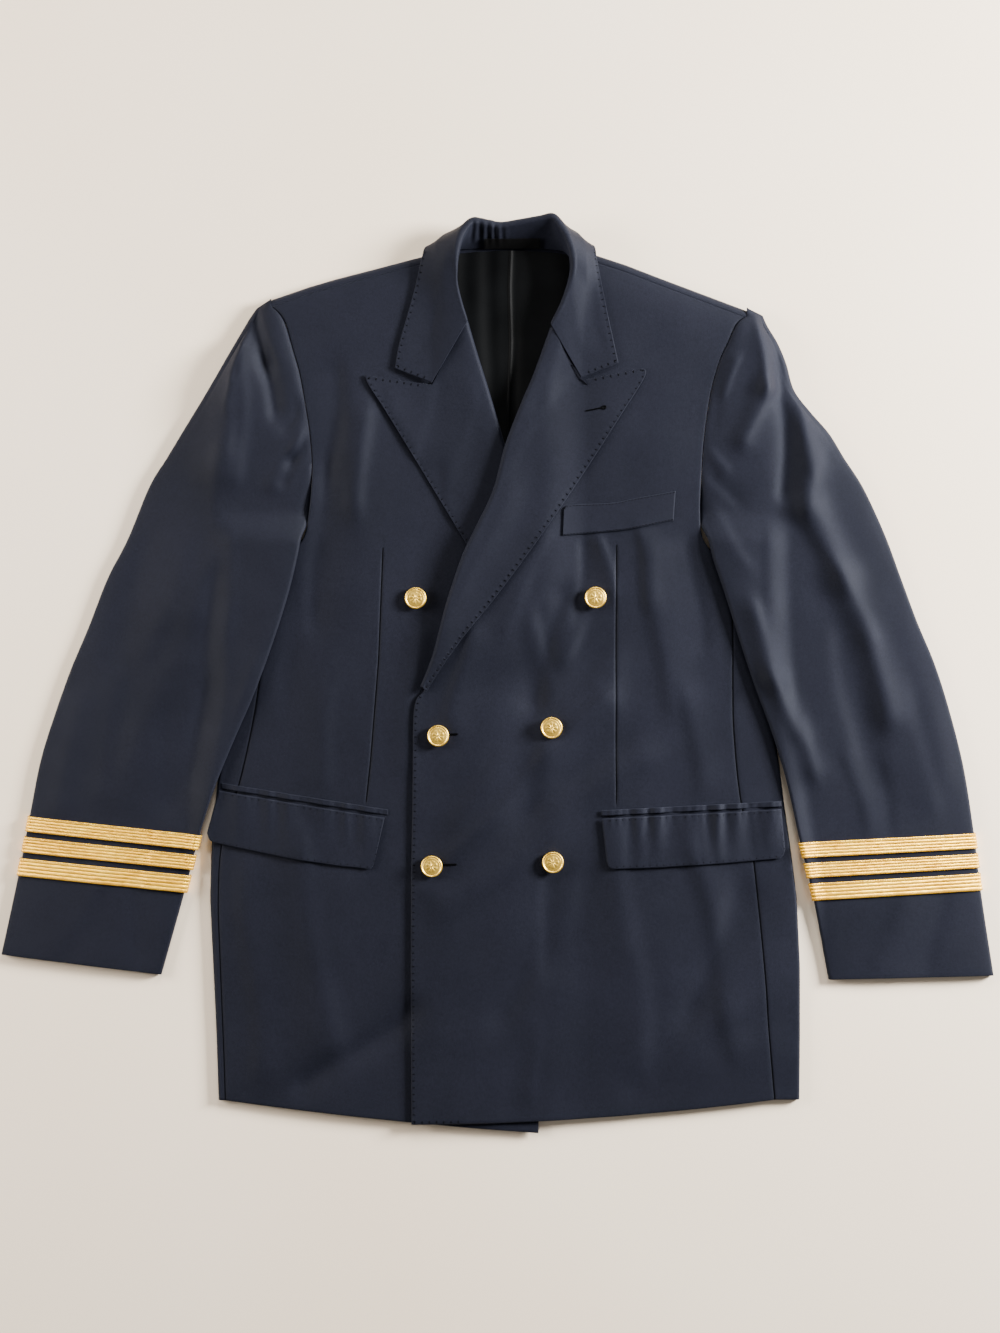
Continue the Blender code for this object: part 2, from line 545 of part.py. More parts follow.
def lapel_points(table, sections, height):
    """A lapel: a short tuck in line with its front, the roll, then the revers lying on the front."""
    grid = []
    for row, centre, across, radius in lapel_rolls(table, np.linspace(0.0, len(table) - 1.0, sections)):
        base = float(height(centre[0], centre[1]))
        low = base - WALL_FRONT
        tuck_end = centre + across * (LAPEL_TUCK * row[7] + 0.6)
        points = [(*tuck_end, float(height(*tuck_end)) - WALL_FRONT)]
        for k in range(ARC_STEPS + 1):
            angle = -pi / 2.0 + pi * k / ARC_STEPS
            out = centre - across * radius * cos(angle)
            points.append((*out, low + radius + radius * sin(angle)))
        middle = np.array(row[2:4])
        edge = np.array(row[4:6])
        for start, end, steps in ((centre, middle, 3), (middle, edge, 3)):
            for k in range(1, steps + 1):
                place = start + (end - start) * k / steps
                gone = np.hypot(*(place - centre))
                rise = (2.0 * radius - WALL_FRONT - WALL_LAPEL - LAY) * np.exp(-(gone / 22.0) ** 2)
                lying = float(height(*place)) + WALL_LAPEL + LAY + rise
                points.append((*place, lying))
        grid.append(points)
    return np.array(grid)


def front_plan(neck, lapel, armhole, lower, count, columns):
    """Rows of a front from the shoulder seam to the hem, inner edge first."""
    rows = list(neck)
    marks = np.linspace(0.0, len(lapel) - 1.0, len(armhole))
    for (row, centre, across, _), outer in zip(lapel_rolls(lapel, marks), armhole):
        inner = centre + across * (LAPEL_TUCK * row[7] + 1.6)
        rows.append(FrontRow(inner[0], inner[1], outer[0], outer[1], 0.0))
    rows += list(lower)
    fine = through(rows, np.linspace(0.0, len(rows) - 1.0, count))
    plan = rows_between(fine[:, 0:2], fine[:, 2:4], columns)
    across = np.linspace(-1.0, 1.0, columns)
    plan[..., 1] += fine[:, 4:5] * (1.0 - across[None, :] ** 2)
    plan[0, :, 1] = shoulder_y(plan[0, :, 0]) - SHOULDER_EDGE_RADIUS - SHOULDER_TURN - SEAM
    return plan


def make_fronts():
    right = front_plan(NECK_RIGHT, LAPEL_RIGHT, ARMHOLE_RIGHT, FRONT_RIGHT, 27, 12)
    cloth("front_right", grid_on(right, right_top), WALL_FRONT, "cloth")
    left = front_plan(NECK_LEFT, LAPEL_LEFT, ARMHOLE_LEFT, FRONT_LEFT, 29, 13)
    cloth("front_left", grid_on(left, left_top), WALL_FRONT, "cloth", flip=True)
    return right, left


def make_lapels():
    right = lapel_points(LAPEL_RIGHT, 14, right_top)
    cloth("lapel_right", right, WALL_LAPEL, "cloth")
    left = lapel_points(LAPEL_LEFT, 20, left_top)
    cloth("lapel_left", left, WALL_LAPEL, "cloth", flip=True)


def back_seam_x(y, seam):
    return np.interp(y, (seam.hem_y, seam.top_y), (seam.hem_x, seam.top_x))


def side_points(rows, side, front_edge, back_seam):
    """A side panel: from the front seam over the folded edge and under to the back seam."""
    grid = []
    for seam, y in front_edge:
        seam = seam + side * SEAM
        edge = float(edge_at(rows, y, "edge_x"))
        arc = edge - side * SIDE_EDGE_RADIUS
        points = [(x, y, float(body_top(x, y))) for x in np.linspace(seam, arc, 5)[:-1]]
        for k in range(ARC_STEPS + 1):
            angle = pi / 2.0 - pi * k / ARC_STEPS
            reach = arc + side * SIDE_EDGE_RADIUS * cos(angle)
            points.append((reach, y, SIDE_EDGE_RADIUS + SIDE_EDGE_RADIUS * sin(angle)))
        for x in np.linspace(arc, back_seam_x(y, back_seam), 3)[1:]:
            points.append((x, y, 0.0))
        grid.append(points)
    return np.array(grid)


def below_underarm(plan):
    """The outer edge of a front where the side panel joins it."""
    edge = plan[:, -1]
    return edge[edge[:, 1] <= UNDERARM_Y]


def make_sides(right_front, left_front):
    right = side_points(SIDE_RIGHT, -1.0, below_underarm(right_front), BACK_SEAM_RIGHT)
    cloth("side_right", right, WALL_SIDE, "cloth")
    left = side_points(SIDE_LEFT, 1.0, below_underarm(left_front), BACK_SEAM_LEFT)
    cloth("side_left", left, WALL_SIDE, "cloth", flip=True)


def back_points(side, seam, armhole, columns, rows):
    """A back panel, flat on the table, turned up over the shoulder to its seam."""
    seams = [(seam.hem_x - side * SEAM, seam.hem_y), (seam.top_x - side * SEAM, seam.top_y)]
    outline = sorted([*armhole, *seams], key=lambda point: point[1])
    outline_y = [point[1] for point in outline]
    outline_x = [point[0] for point in outline]
    across = np.linspace(0.0, 1.0, columns)
    inner = CENTRE_BACK_X + side * SEAM * 0.5
    grid = []
    for v in np.linspace(0.0, 1.0, rows):
        x = np.full(columns, inner)
        for _ in range(6):
            y = BACK_HEM_Y + (shoulder_y(x) - SHOULDER_EDGE_RADIUS - BACK_HEM_Y) * v
            x = inner + (np.interp(y, outline_y, outline_x) - inner) * across
        grid.append(np.column_stack((x, y, back_lift(x, y))))
    x, y, z = grid[-1].T
    turned = step(np.abs(x - CENTRE_BACK_X), NECK_HALF_WIDTH - 17.0, NECK_HALF_WIDTH)
    radius = SHOULDER_EDGE_RADIUS
    for k in range(1, ARC_STEPS + 2):
        angle = -pi / 2.0 + pi * min(k, ARC_STEPS) / ARC_STEPS
        curled = radius * cos(angle) - (SHOULDER_TURN if k > ARC_STEPS else 0.0)
        flat = 1.3 * k
        up = radius + radius * sin(angle)
        grid.append(np.column_stack((x, y + curled * turned + flat * (1.0 - turned), z + up * turned)))
    return np.array(grid)


def make_backs():
    right = back_points(-1.0, BACK_SEAM_RIGHT, ARMHOLE_BACK_RIGHT, 8, 13)
    cloth("back_right", right, WALL_BACK, "cloth")
    left = back_points(1.0, BACK_SEAM_LEFT, ARMHOLE_BACK_LEFT, 8, 13)
    cloth("back_left", left, WALL_BACK, "cloth", flip=True)


def lining_top(x, y):
    """The lining lies on the back with soft upright folds and a pleat down its middle."""
    folds = 0.5 * np.sin(x / 5.2) * step(x, 12.0, -20.0) + 0.3 * np.sin(x / 9.0 + y / 70.0)
    pleat = 0.9 * np.exp(-((x - 12.5) / 3.0) ** 2)
    return back_lift(x, y) + WALL_BACK + PRESSED + WALL_LINING + 0.8 + folds + pleat


def make_lining():
    xs = np.concatenate((np.linspace(LINING_X[0], 9.0, 13), np.linspace(12.5, LINING_X[1], 9)))
    top = LINING_Y[1] - 15.0 * ((xs - CENTRE_BACK_X) / 62.0) ** 2
    plan = np.array([np.column_stack((xs, top + (LINING_Y[0] - top) * t)) for t in np.linspace(0.0, 1.0, 7)])
    cloth("lining_back", grid_on(plan, lining_top), WALL_LINING, "lining", flip=True)


def collar_profile(row):
    """One section of the collar: up the stand, round the roll and down the fall."""
    seam = row[0:3]
    roll = row[3:6]
    middle = row[6:9]
    edge = row[9:12]
    reach = roll - 0.5 * (seam + middle)
    reach = reach / np.linalg.norm(reach)
    spread = (seam - middle) - np.dot(seam - middle, reach) * reach
    spread = spread / np.linalg.norm(spread)
    centre = roll - reach * COLLAR_ROLL_RADIUS
    points = []
    first = centre + COLLAR_ROLL_RADIUS * spread
    for k in range(STAND_STEPS):
        points.append(seam + (first - seam) * k / STAND_STEPS)
    for k in range(ARC_STEPS + 1):
        angle = pi / 2.0 - pi * k / ARC_STEPS
        points.append(centre + COLLAR_ROLL_RADIUS * (cos(angle) * reach + sin(angle) * spread))
    last = points[-1]
    for start, end in ((last, middle), (middle, edge)):
        for k in range(1, FALL_STEPS + 1):
            points.append(start + (end - start) * k / FALL_STEPS)
    return np.array(points)


def collar_points(sections):
    table = np.array(COLLAR, float)
    grid = []
    for row in through(table, np.linspace(0.0, len(COLLAR) - 1.0, sections)):
        row = row.copy()
        row[8] = max(row[8], 0.0)
        row[11] = max(row[11], 0.0)
        points = collar_profile(row)
        fall = points[STAND_STEPS + ARC_STEPS:]
        rest = outer_top(fall[:, 0], fall[:, 1]) + LAY + WALL_COLLAR
        lies = step(row[12], 0.3, 0.9)
        lifted = np.maximum(fall[:, 2], rest)
        fall[:, 2] = np.maximum(fall[:, 2] * (1.0 - lies) + lifted * lies, 0.0)
        grid.append(points)
    return np.array(grid)


def make_collar():
    points = collar_points(COLLAR_SECTIONS)
    cloth("collar", points, WALL_COLLAR, "cloth", flip=True)
    make_label(points)


def make_label(collar):
    """A blank woven label on the stand, from the collar's own points moved out."""
    feet = collar[:, 0]
    heads = collar[:, STAND_STEPS]

    def across_at(points, x):
        return np.array([np.interp(x, feet[:, 0], points[:, axis]) for axis in range(3)])

    rows = []
    for x in np.linspace(LABEL_X[0], LABEL_X[1], 8):
        foot = across_at(feet, x)
        head = across_at(heads, x)
        up = (head - foot) / np.linalg.norm(head - foot)
        along = across_at(feet, x + 3.0) - across_at(feet, x - 3.0)
        normal = np.cross(along, up)
        normal = normal / np.linalg.norm(normal)
        out = normal * (PRESSED + WALL_LABEL)
        rows.append([foot + up * reach + out for reach in (1.0, 0.5 * LABEL_HEIGHT + 1.0, LABEL_HEIGHT + 1.0)])
    cloth("label", np.array(rows), WALL_LABEL, "label", flip=True)


def armhole_rows(rows, plan, side, gap):
    """Sleeve rows whose inner edge follows the front's armhole down to the underarm."""
    edge = plan[:, -1]
    edge = edge[edge[:, 1] > UNDERARM_Y + 10.0][::-1]
    rows = rows.copy()
    slant = 1.0 + SHOULDER_SLANT * step(rows[:, 3], 300.0, 335.0)
    seam = np.interp(rows[:, 3], edge[:, 1], edge[:, 0]) + side * gap * slant
    share = step(rows[:, 3], UNDERARM_Y + 15.0, UNDERARM_Y + 35.0)
    rows[:, 2] = rows[:, 2] * (1.0 - share) + seam * share
    return rows


def sleeve_section(row, side, folds, top_steps):
    """One cross row of a sleeve's upper piece, from its outer tuck over the top to its inner tuck."""
    outer = np.array(row[0:2])
    inner = np.array(row[2:4])
    radius, crown, folded = row[4], row[5], row[6]
    width = np.hypot(*(inner - outer))
    radius = min(radius, width * 0.3)
    run = (inner - outer) / width
    tuck = min(SLEEVE_TUCK, width * 0.25)
    points = [(radius + tuck, 0.0), (radius + 0.4 * tuck, 0.0)]
    for k in range(ARC_STEPS + 1):
        angle = -pi / 2.0 + pi * k / ARC_STEPS
        points.append((radius - radius * cos(angle), radius + radius * sin(angle)))
    meeting = float(outer_top(*inner)) - 2.0 * radius
    for k in range(1, top_steps):
        t = k / top_steps
        s = radius + (width - radius * (1.0 + folded)) * t
        swell = crown * (1.0 - (2.0 * t - 1.0) ** 2) ** 0.7
        points.append((s, 2.0 * radius + swell + meeting * t ** 1.5 * (1.0 - folded)))
    for k in range(ARC_STEPS + 1):
        angle = pi / 2.0 - pi * k / ARC_STEPS
        round_s = width - radius + radius * cos(angle)
        round_z = radius + radius * sin(angle)
        drop_s = width - 0.12 * k
        drop_z = 2.0 * radius + meeting - 0.8 * k
        points.append((drop_s + (round_s - drop_s) * folded, drop_z + (round_z - drop_z) * folded))
    for k, share in ((1, 0.6), (2, 1.0)):
        round_s = width - radius - tuck * share
        drop_s = width - 0.12 * (ARC_STEPS + k)
        drop_z = 2.0 * radius + meeting - 0.8 * (ARC_STEPS + k)
        points.append((drop_s + (round_s - drop_s) * folded, drop_z * (1.0 - folded)))
    placed = []
    first_top = 2 + ARC_STEPS
    last_top = first_top + top_steps
    for k, (s, z) in enumerate(points):
        x, y = outer + run * s
        lift = float(sleeve_base(x, y, side))
        if folded < 1.0:
            lift = lift * folded
        if first_top < k < last_top:
            calm = step(s, 0.0, 26.0) * step(width - s, 0.0, 26.0)
            z = z + calm * float(fold_height(x, y, folds))
        placed.append((x, y, z + lift))
    return placed


def sleeve_points(table, side, folds, front):
    rows = through(table, np.linspace(0.0, len(table) - 1.0, SLEEVE_SECTIONS))
    rows = armhole_rows(rows, front, side, ARMHOLE_GAP)
    return np.array([sleeve_section(row, side, folds, SLEEVE_STEPS) for row in rows])


def under_points(table, side, front, sections, columns):
    """The under piece of a sleeve, between the two tucks of the upper piece."""
    grid = []
    rows = through(table, np.linspace(1.3, len(table) - 1.0, sections))
    for row in armhole_rows(rows, front, side, ARMHOLE_GAP):
        outer = np.array(row[0:2])
        inner = np.array(row[2:4])
        radius, folded = row[4], row[6]
        width = np.hypot(*(inner - outer))
        radius = min(radius, width * 0.3)
        tuck = min(SLEEVE_TUCK, width * 0.25)
        run = (inner - outer) / width
        start = radius + tuck + TUCK_GAP
        end = width - 6.0 - (radius + tuck + TUCK_GAP - 6.0) * step(folded, 0.0, 0.3)
        points = []
        for s in np.linspace(start, end, columns):
            x, y = outer + run * s
            lift = float(sleeve_base(x, y, side))
            points.append((x, y, lift * min(folded, 1.0)))
        grid.append(points)
    return np.array(grid)


def make_sleeves(right_front, left_front):
    for name, table, side, folds, front in (
        ("right", SLEEVE_RIGHT, -1.0, SLEEVE_RIGHT_FOLDS, right_front),
        ("left", SLEEVE_LEFT, 1.0, SLEEVE_LEFT_FOLDS, left_front),
    ):
        top = sleeve_points(table, side, folds, front)
        cloth(f"sleeve_top_{name}", top, WALL_SLEEVE, "cloth", flip=side < 0)
        under = under_points(table, side, front, 17, 8)
        cloth(f"sleeve_under_{name}", under, WALL_SLEEVE, "cloth", flip=side > 0)
        make_braids(name, table, side, folds)


def normals_of(grid, side):
    down = np.gradient(grid, axis=0)
    over = np.gradient(grid, axis=1)
    normal = np.cross(over, down) * side
    return normal / np.linalg.norm(normal, axis=2, keepdims=True)


def make_braids(name, table, side, folds):
    """Three flat braids round the upper side of the cuff, from the sleeve's points moved out."""
    first = len(table) - 3.0
    for index in range(BRAID_COUNT):
        start = first + index * BRAID_PITCH_SHARE
        marks = np.linspace(start, start + BRAID_WIDTH_SHARE, 2)
        rows = through(table, marks)
        grid = np.array([sleeve_section(row, side, folds, SLEEVE_STEPS) for row in rows])
        grid = grid[:, 3:-3]
        moved = grid + normals_of(grid, side) * (BRAID_AIR + WALL_BRAID)
        cloth(f"braid_{name}_{index + 1}", moved, WALL_BRAID, "braid", flip=side < 0)


def laid_on(plan, height, wall, gap):
    z = height(plan[..., 0], plan[..., 1]) + gap + wall
    return np.dstack((plan, z))


def flap_plan(rows, columns):
    """Corner rows as given, with straight rows between the wide ones."""
    table = np.array(rows, float)
    x = np.unique(np.concatenate((table[:, 0], np.linspace(table[1, 0], table[-2, 0], columns))))
    fine = np.column_stack([np.interp(x, table[:, 0], table[:, c]) for c in range(4)])
    return rows_between(fine[:, 0:2], fine[:, 2:4], 4)


def make_pockets():
    for name, rows, jet, height, flip in (
        ("right", FLAP_RIGHT, JET_RIGHT, right_top, False),
        ("left", FLAP_LEFT, JET_LEFT, left_top, False),
    ):
        flap = laid_on(flap_plan(rows, 10), height, WALL_FLAP, LAY)
        cloth(f"pocket_flap_{name}", flap, WALL_FLAP, "cloth", flip=flip)
        top = np.linspace(jet[0], jet[1], 11)
        low = top - np.array((0.0, JET_DEPTH))
        strip = rows_between(top, low, 2)
        cloth(f"pocket_jet_{name}", laid_on(strip, height, WALL_JET, PRESSED), WALL_JET, "cloth", flip=flip)
    welt = rows_between(through(WELT_TOP, np.linspace(0, 4, 9)), through(WELT_BOTTOM, np.linspace(0, 4, 9)), 3)
    cloth("breast_welt", laid_on(welt, left_top, WALL_WELT, PRESSED), WALL_WELT, "cloth")


def make_buttons():
    """Each button is turned: a shank, a flat back, a low rim and a shallow domed face."""
    for place in BUTTONS:
        height = left_top if place.on == "left" else right_top
        seat = float(height(place.x, place.y)) + place.air
        head = SHANK_LENGTH
        profile = (
            (0.0, head + BUTTON_THICK + 0.7),
            (BUTTON_RADIUS * 0.55, head + BUTTON_THICK + 0.4),
            (BUTTON_RADIUS - 2.0 * BUTTON_RIM, head + BUTTON_THICK - 0.2),
            (BUTTON_RADIUS - BUTTON_RIM, head + BUTTON_THICK + 0.3),
            (BUTTON_RADIUS, head + BUTTON_THICK - 0.5),
            (BUTTON_RADIUS - 0.8, head),
            (SHANK_RADIUS, head),
            (SHANK_RADIUS, 0.0),
            (0.0, 0.0),
        )
        mesh = bpy.data.meshes.new(place.name)
        line = bmesh.new()
        made = [line.verts.new((r * MM, 0.0, z * MM)) for r, z in profile]
        for a, b in zip(made, made[1:]):
            line.edges.new((a, b))
        line.to_mesh(mesh)
        line.free()
        button = add_object(place.name, mesh, "button")
        button.location = (place.x * MM, place.y * MM, seat * MM)
        turn = button.modifiers.new("turned", "SCREW")
        turn.steps = BUTTON_SIDES
        turn.render_steps = BUTTON_SIDES
        turn.use_merge_vertices = True
        turn.merge_threshold = 0.00001
        turn.use_normal_calculate = True


def main():
    clear_scene()
    group = bpy.data.collections.new("uniform_jacket")
    bpy.context.scene.collection.children.link(group)
    origin = bpy.data.objects.new("jacket_origin", None)
    origin.location.y = CENTRING_Y * MM
    group.objects.link(origin)
    make_backs()
    make_lining()
    right_front, left_front = make_fronts()
    make_sides(right_front, left_front)
    make_lapels()
    make_collar()
    make_sleeves(right_front, left_front)
    make_pockets()
    make_buttons()


main()
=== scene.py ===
# Looks of the laid-out uniform jacket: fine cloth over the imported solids, sewing, braid and buttons.
# Plan sizes are in millimetres, as in the part's own source: +X to the wearer's left, +Y to the
# collar, +Z up from the table. Meshes are made in metres.

from collections import namedtuple
from math import cos, hypot, pi, sin

import bmesh
import bpy
import numpy as np
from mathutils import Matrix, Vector


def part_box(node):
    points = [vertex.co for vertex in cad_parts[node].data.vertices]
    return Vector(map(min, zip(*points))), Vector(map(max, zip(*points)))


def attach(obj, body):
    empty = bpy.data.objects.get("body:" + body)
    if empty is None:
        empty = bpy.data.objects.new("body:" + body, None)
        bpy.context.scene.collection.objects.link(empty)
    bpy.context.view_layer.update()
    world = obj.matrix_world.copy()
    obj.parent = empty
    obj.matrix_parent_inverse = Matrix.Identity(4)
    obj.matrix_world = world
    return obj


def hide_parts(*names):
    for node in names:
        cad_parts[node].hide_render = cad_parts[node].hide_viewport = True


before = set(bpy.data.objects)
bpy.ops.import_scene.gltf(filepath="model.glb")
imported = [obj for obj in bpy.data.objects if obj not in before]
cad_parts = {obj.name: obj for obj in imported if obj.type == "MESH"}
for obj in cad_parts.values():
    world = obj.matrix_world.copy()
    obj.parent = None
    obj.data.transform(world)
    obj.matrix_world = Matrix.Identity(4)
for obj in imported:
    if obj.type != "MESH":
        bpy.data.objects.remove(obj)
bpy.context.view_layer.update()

MM = 0.001
CENTRING_Y = 1.8

# Cloth walls
WALL_BACK = 1.6
WALL_SIDE = 1.6
WALL_FRONT = 2.0
WALL_LINING = 1.0
WALL_LAPEL = 2.2
WALL_COLLAR = 2.2
WALL_SLEEVE = 1.8
WALL_FLAP = 2.0
WALL_JET = 1.4
WALL_WELT = 1.6
WALL_BRAID = 1.1
WALL_LABEL = 0.6

# Air between pieces
SEAM = 0.3
LAY = 0.6
OVERLAP = 1.3
SLEEVE_AIR = 1.2
BRAID_AIR = 0.8
SHOULDER_SLANT = 2.4
PRESSED = 0.4

# Rounded edges of the folded cloth
SIDE_EDGE_RADIUS = 2.8
SHOULDER_EDGE_RADIUS = 6.0
COLLAR_ROLL_RADIUS = 4.0
SHOULDER_TURN = 1.2
SLEEVE_TUCK = 12.0
TUCK_GAP = 1.5
LAPEL_TUCK = 7.0
LAPEL_ROLL_RISE = 2.6
ARC_STEPS = 4
STAND_STEPS = 4
FALL_STEPS = 3

# The body
CENTRE_BACK_X = 11.0
UNDERLAP_X = 40.0
UNDERARM_Y = 105.0
BACK_HEM_Y = -392.0
NECK_LIFT = 3.3
NECK_LIFT_FROM_Y = 322.0
NECK_LIFT_TO_Y = 386.0
NECK_HALF_WIDTH = 75.0

# Buttons
BUTTON_RADIUS = 10.1
BUTTON_THICK = 2.6
SHANK_LENGTH = 2.4

# Height of the fronts' upper face above the table, a row for each height along the body
LOFT_X = (-230.0, -140.0, -50.0, 20.0, 110.0, 230.0)
Loft = namedtuple("Loft", "y far_right right centre_right centre_left left far_left")
LOFT = (
    Loft(-430, 6.8, 7.2, 6.8, 6.6, 7.2, 6.8),
    Loft(-300, 7.0, 7.6, 7.0, 6.6, 7.6, 7.2),
    Loft(-150, 7.4, 8.0, 7.2, 6.6, 8.0, 7.6),
    Loft(0, 7.8, 8.4, 7.2, 6.4, 8.4, 8.0),
    Loft(120, 9.2, 10.2, 7.6, 6.2, 10.0, 9.4),
    Loft(230, 12.0, 12.6, 9.0, 6.6, 12.4, 12.2),
    Loft(300, 15.0, 14.4, 11.6, 9.0, 14.4, 15.0),
    Loft(345, 17.5, 16.0, 13.6, 11.6, 16.0, 17.5),
    Loft(400, 18.0, 17.0, 15.0, 14.0, 17.0, 18.0),
)

# Largest folds: a soft ridge, or a trough where the height is negative, along a line
Fold = namedtuple("Fold", "x0 y0 x1 y1 height width")
BODY_FOLDS = (
    Fold(-35, -170, 95, -20, 1.8, 20),
    Fold(-58, -180, 15, -95, -1.0, 18),
    Fold(-90, -320, -180, -382, -1.4, 17),
    Fold(228, -210, 130, -380, -1.3, 22),
    Fold(58, 66, 35, -25, -1.3, 15),
    Fold(53, -185, 12, -320, -1.2, 15),
    Fold(-150, -200, -165, -330, 1.0, 26),
    Fold(150, -220, 175, -360, 1.2, 24),
    Fold(-120, 90, -130, 230, 1.2, 30),
    Fold(130, 60, 160, 210, 1.3, 30),
)
SLEEVE_RIGHT_FOLDS = (
    Fold(-242, 300, -258, 190, 3.4, 20),
    Fold(-258, 190, -285, 60, 2.6, 22),
    Fold(-223, 318, -207, 245, -2.0, 12),
    Fold(-176, 215, -206, 176, 2.2, 9),
    Fold(-330, 120, -352, 10, -1.6, 16),
    Fold(-300, 10, -352, -110, 2.0, 18),
    Fold(-262, -20, -300, -120, -1.4, 13),
    Fold(-392, -30, -408, -120, 1.6, 16),
)
SLEEVE_LEFT_FOLDS = (
    Fold(243, 315, 248, 265, 3.0, 11),
    Fold(248, 265, 228, 215, 2.6, 11),
    Fold(279, 265, 290, 155, 3.6, 13),
    Fold(290, 155, 322, 85, 3.4, 13),
    Fold(322, 85, 362, -40, 3.2, 14),
    Fold(236, 55, 254, -8, 2.6, 11),
    Fold(254, -8, 292, -88, 2.8, 12),
    Fold(264, 290, 267, 170, -2.2, 11),
    Fold(330, 40, 350, -100, -1.6, 14),
    Fold(398, 40, 420, -90, 1.6, 16),
)

# Outline of the body below the underarm, a row for each height
SideRow = namedtuple("SideRow", "y seam_x edge_x")
SIDE_RIGHT = (
    SideRow(105, -209.5, -240.0),
    SideRow(50, -214.5, -243.0),
    SideRow(-6, -220.5, -247.0),
    SideRow(-50, -227.5, -252.0),
    SideRow(-101, -239.0, -260.0),
    SideRow(-157, -255.5, -265.5),
    SideRow(-209, -259.0, -267.0),
    SideRow(-262, -257.5, -264.5),
    SideRow(-337, -254.5, -261.0),
    SideRow(-396, -252.5, -259.0),
)
SIDE_LEFT = (
    SideRow(105, 215.5, 246.0),
    SideRow(37, 218.0, 248.0),
    SideRow(-20, 218.0, 252.0),
    SideRow(-55, 219.0, 257.0),
    SideRow(-87, 222.5, 262.0),
    SideRow(-116, 225.0, 265.5),
    SideRow(-176, 237.5, 274.0),
    SideRow(-209, 241.0, 278.0),
    SideRow(-273, 247.5, 281.0),
    SideRow(-337, 252.0, 281.0),
    SideRow(-396, 257.0, 280.4),
)

# Lapels: the roll line, the middle and the outer edge, from the gorge down to the break
LapelRow = namedtuple("LapelRow", "roll_x roll_y mid_x mid_y edge_x edge_y rise tuck")
LAPEL_RIGHT = (
    LapelRow(-27.4, 325.8, -60.4, 266.7, -122.3, 275.2, 1.0, 1.0),
    LapelRow(-18.0, 294.0, -64.0, 252.0, -119.0, 266.0, 1.0, 1.0),
    LapelRow(-8.0, 262.0, -58.0, 234.0, -104.0, 243.0, 1.0, 1.0),
    LapelRow(7.0, 211.0, -36.0, 192.0, -76.0, 197.5, 0.8, 1.0),
    LapelRow(19.0, 165.0, -14.0, 155.0, -49.0, 153.0, 0.4, 1.0),
    LapelRow(28.0, 118.0, 3.0, 112.0, -22.5, 110.0, 0.2, 0.8),
    LapelRow(35.0, 70.0, 22.0, 68.0, 8.0, 66.0, 0.1, 0.4),
    LapelRow(37.0, 42.0, 33.0, 41.0, 28.0, 40.0, 0.0, 0.1),
)
LAPEL_LEFT = (
    LapelRow(48.6, 319.0, 77.4, 270.4, 134.0, 281.4, 1.0, 1.0),
    LapelRow(43.0, 303.0, 86.0, 261.0, 136.2, 274.0, 1.0, 1.0),
    LapelRow(32.1, 273.4, 74.0, 245.0, 113.5, 237.5, 1.0, 1.0),
    LapelRow(22.4, 251.0, 60.0, 225.0, 94.4, 207.4, 1.0, 1.0),
    LapelRow(7.0, 211.0, 40.0, 189.0, 71.5, 172.5, 1.0, 1.0),
    LapelRow(-4.2, 169.3, 23.0, 150.0, 46.5, 136.0, 1.0, 1.0),
    LapelRow(-19.3, 136.7, 2.0, 115.0, 18.6, 97.1, 1.0, 1.0),
    LapelRow(-32.6, 108.8, -18.0, 87.0, -5.0, 66.0, 0.9, 0.9),
    LapelRow(-47.9, 63.2, -39.0, 48.0, -31.0, 34.0, 0.7, 0.6),
    LapelRow(-60.0, 17.0, -55.5, 11.0, -51.0, 6.0, 0.4, 0.25),
    LapelRow(-71.5, -12.5, -68.6, -14.7, -65.7, -16.8, 0.1, 0.1),
)

# Fronts: the inner edge at the neck and front, the outer edge at the armhole and side seam
FrontRow = namedtuple("FrontRow", "inner_x inner_y outer_x outer_y sag")
NECK_RIGHT = (
    FrontRow(-54.0, 379.0, -208.5, 342.0, 0.0),
    FrontRow(-51.0, 362.0, -197.0, 326.0, 0.0),
    FrontRow(-48.0, 346.0, -189.5, 300.0, 0.0),
)
ARMHOLE_RIGHT = ((-183.0, 277.0), (-178.0, 250.0), (-173.5, 220.0), (-171.5, 190.0),
                 (-174.5, 150.0), (-180.0, 125.0), (-194.0, 111.0), (-209.0, 104.0))
FRONT_RIGHT = (
    FrontRow(40.0, 5.0, -214.5, 50.0, 0.0),
    FrontRow(40.0, -40.0, -220.5, -6.0, 0.0),
    FrontRow(40.0, -75.0, -227.5, -50.0, 0.0),
    FrontRow(40.0, -115.0, -239.0, -101.0, 0.0),
    FrontRow(40.0, -165.0, -255.5, -157.0, 0.0),
    FrontRow(39.5, -215.0, -259.0, -209.0, 0.0),
    FrontRow(39.0, -280.0, -257.5, -262.0, 0.0),
    FrontRow(38.5, -355.0, -254.5, -337.0, 0.0),
    FrontRow(38.0, -427.0, -252.5, -396.5, -2.5),
)
NECK_LEFT = (
    FrontRow(77.0, 377.0, 229.5, 333.5, 0.0),
    FrontRow(75.0, 360.0, 220.5, 322.6, 0.0),
    FrontRow(71.0, 344.0, 213.4, 306.0, 0.0),
)
ARMHOLE_LEFT = ((206.0, 290.0), (198.6, 265.0), (194.0, 240.0), (190.6, 211.0), (188.5, 180.0),
                (187.5, 150.0), (190.0, 126.0), (201.0, 111.0), (215.5, 104.0),
                (217.5, 62.0), (218.0, 30.0))
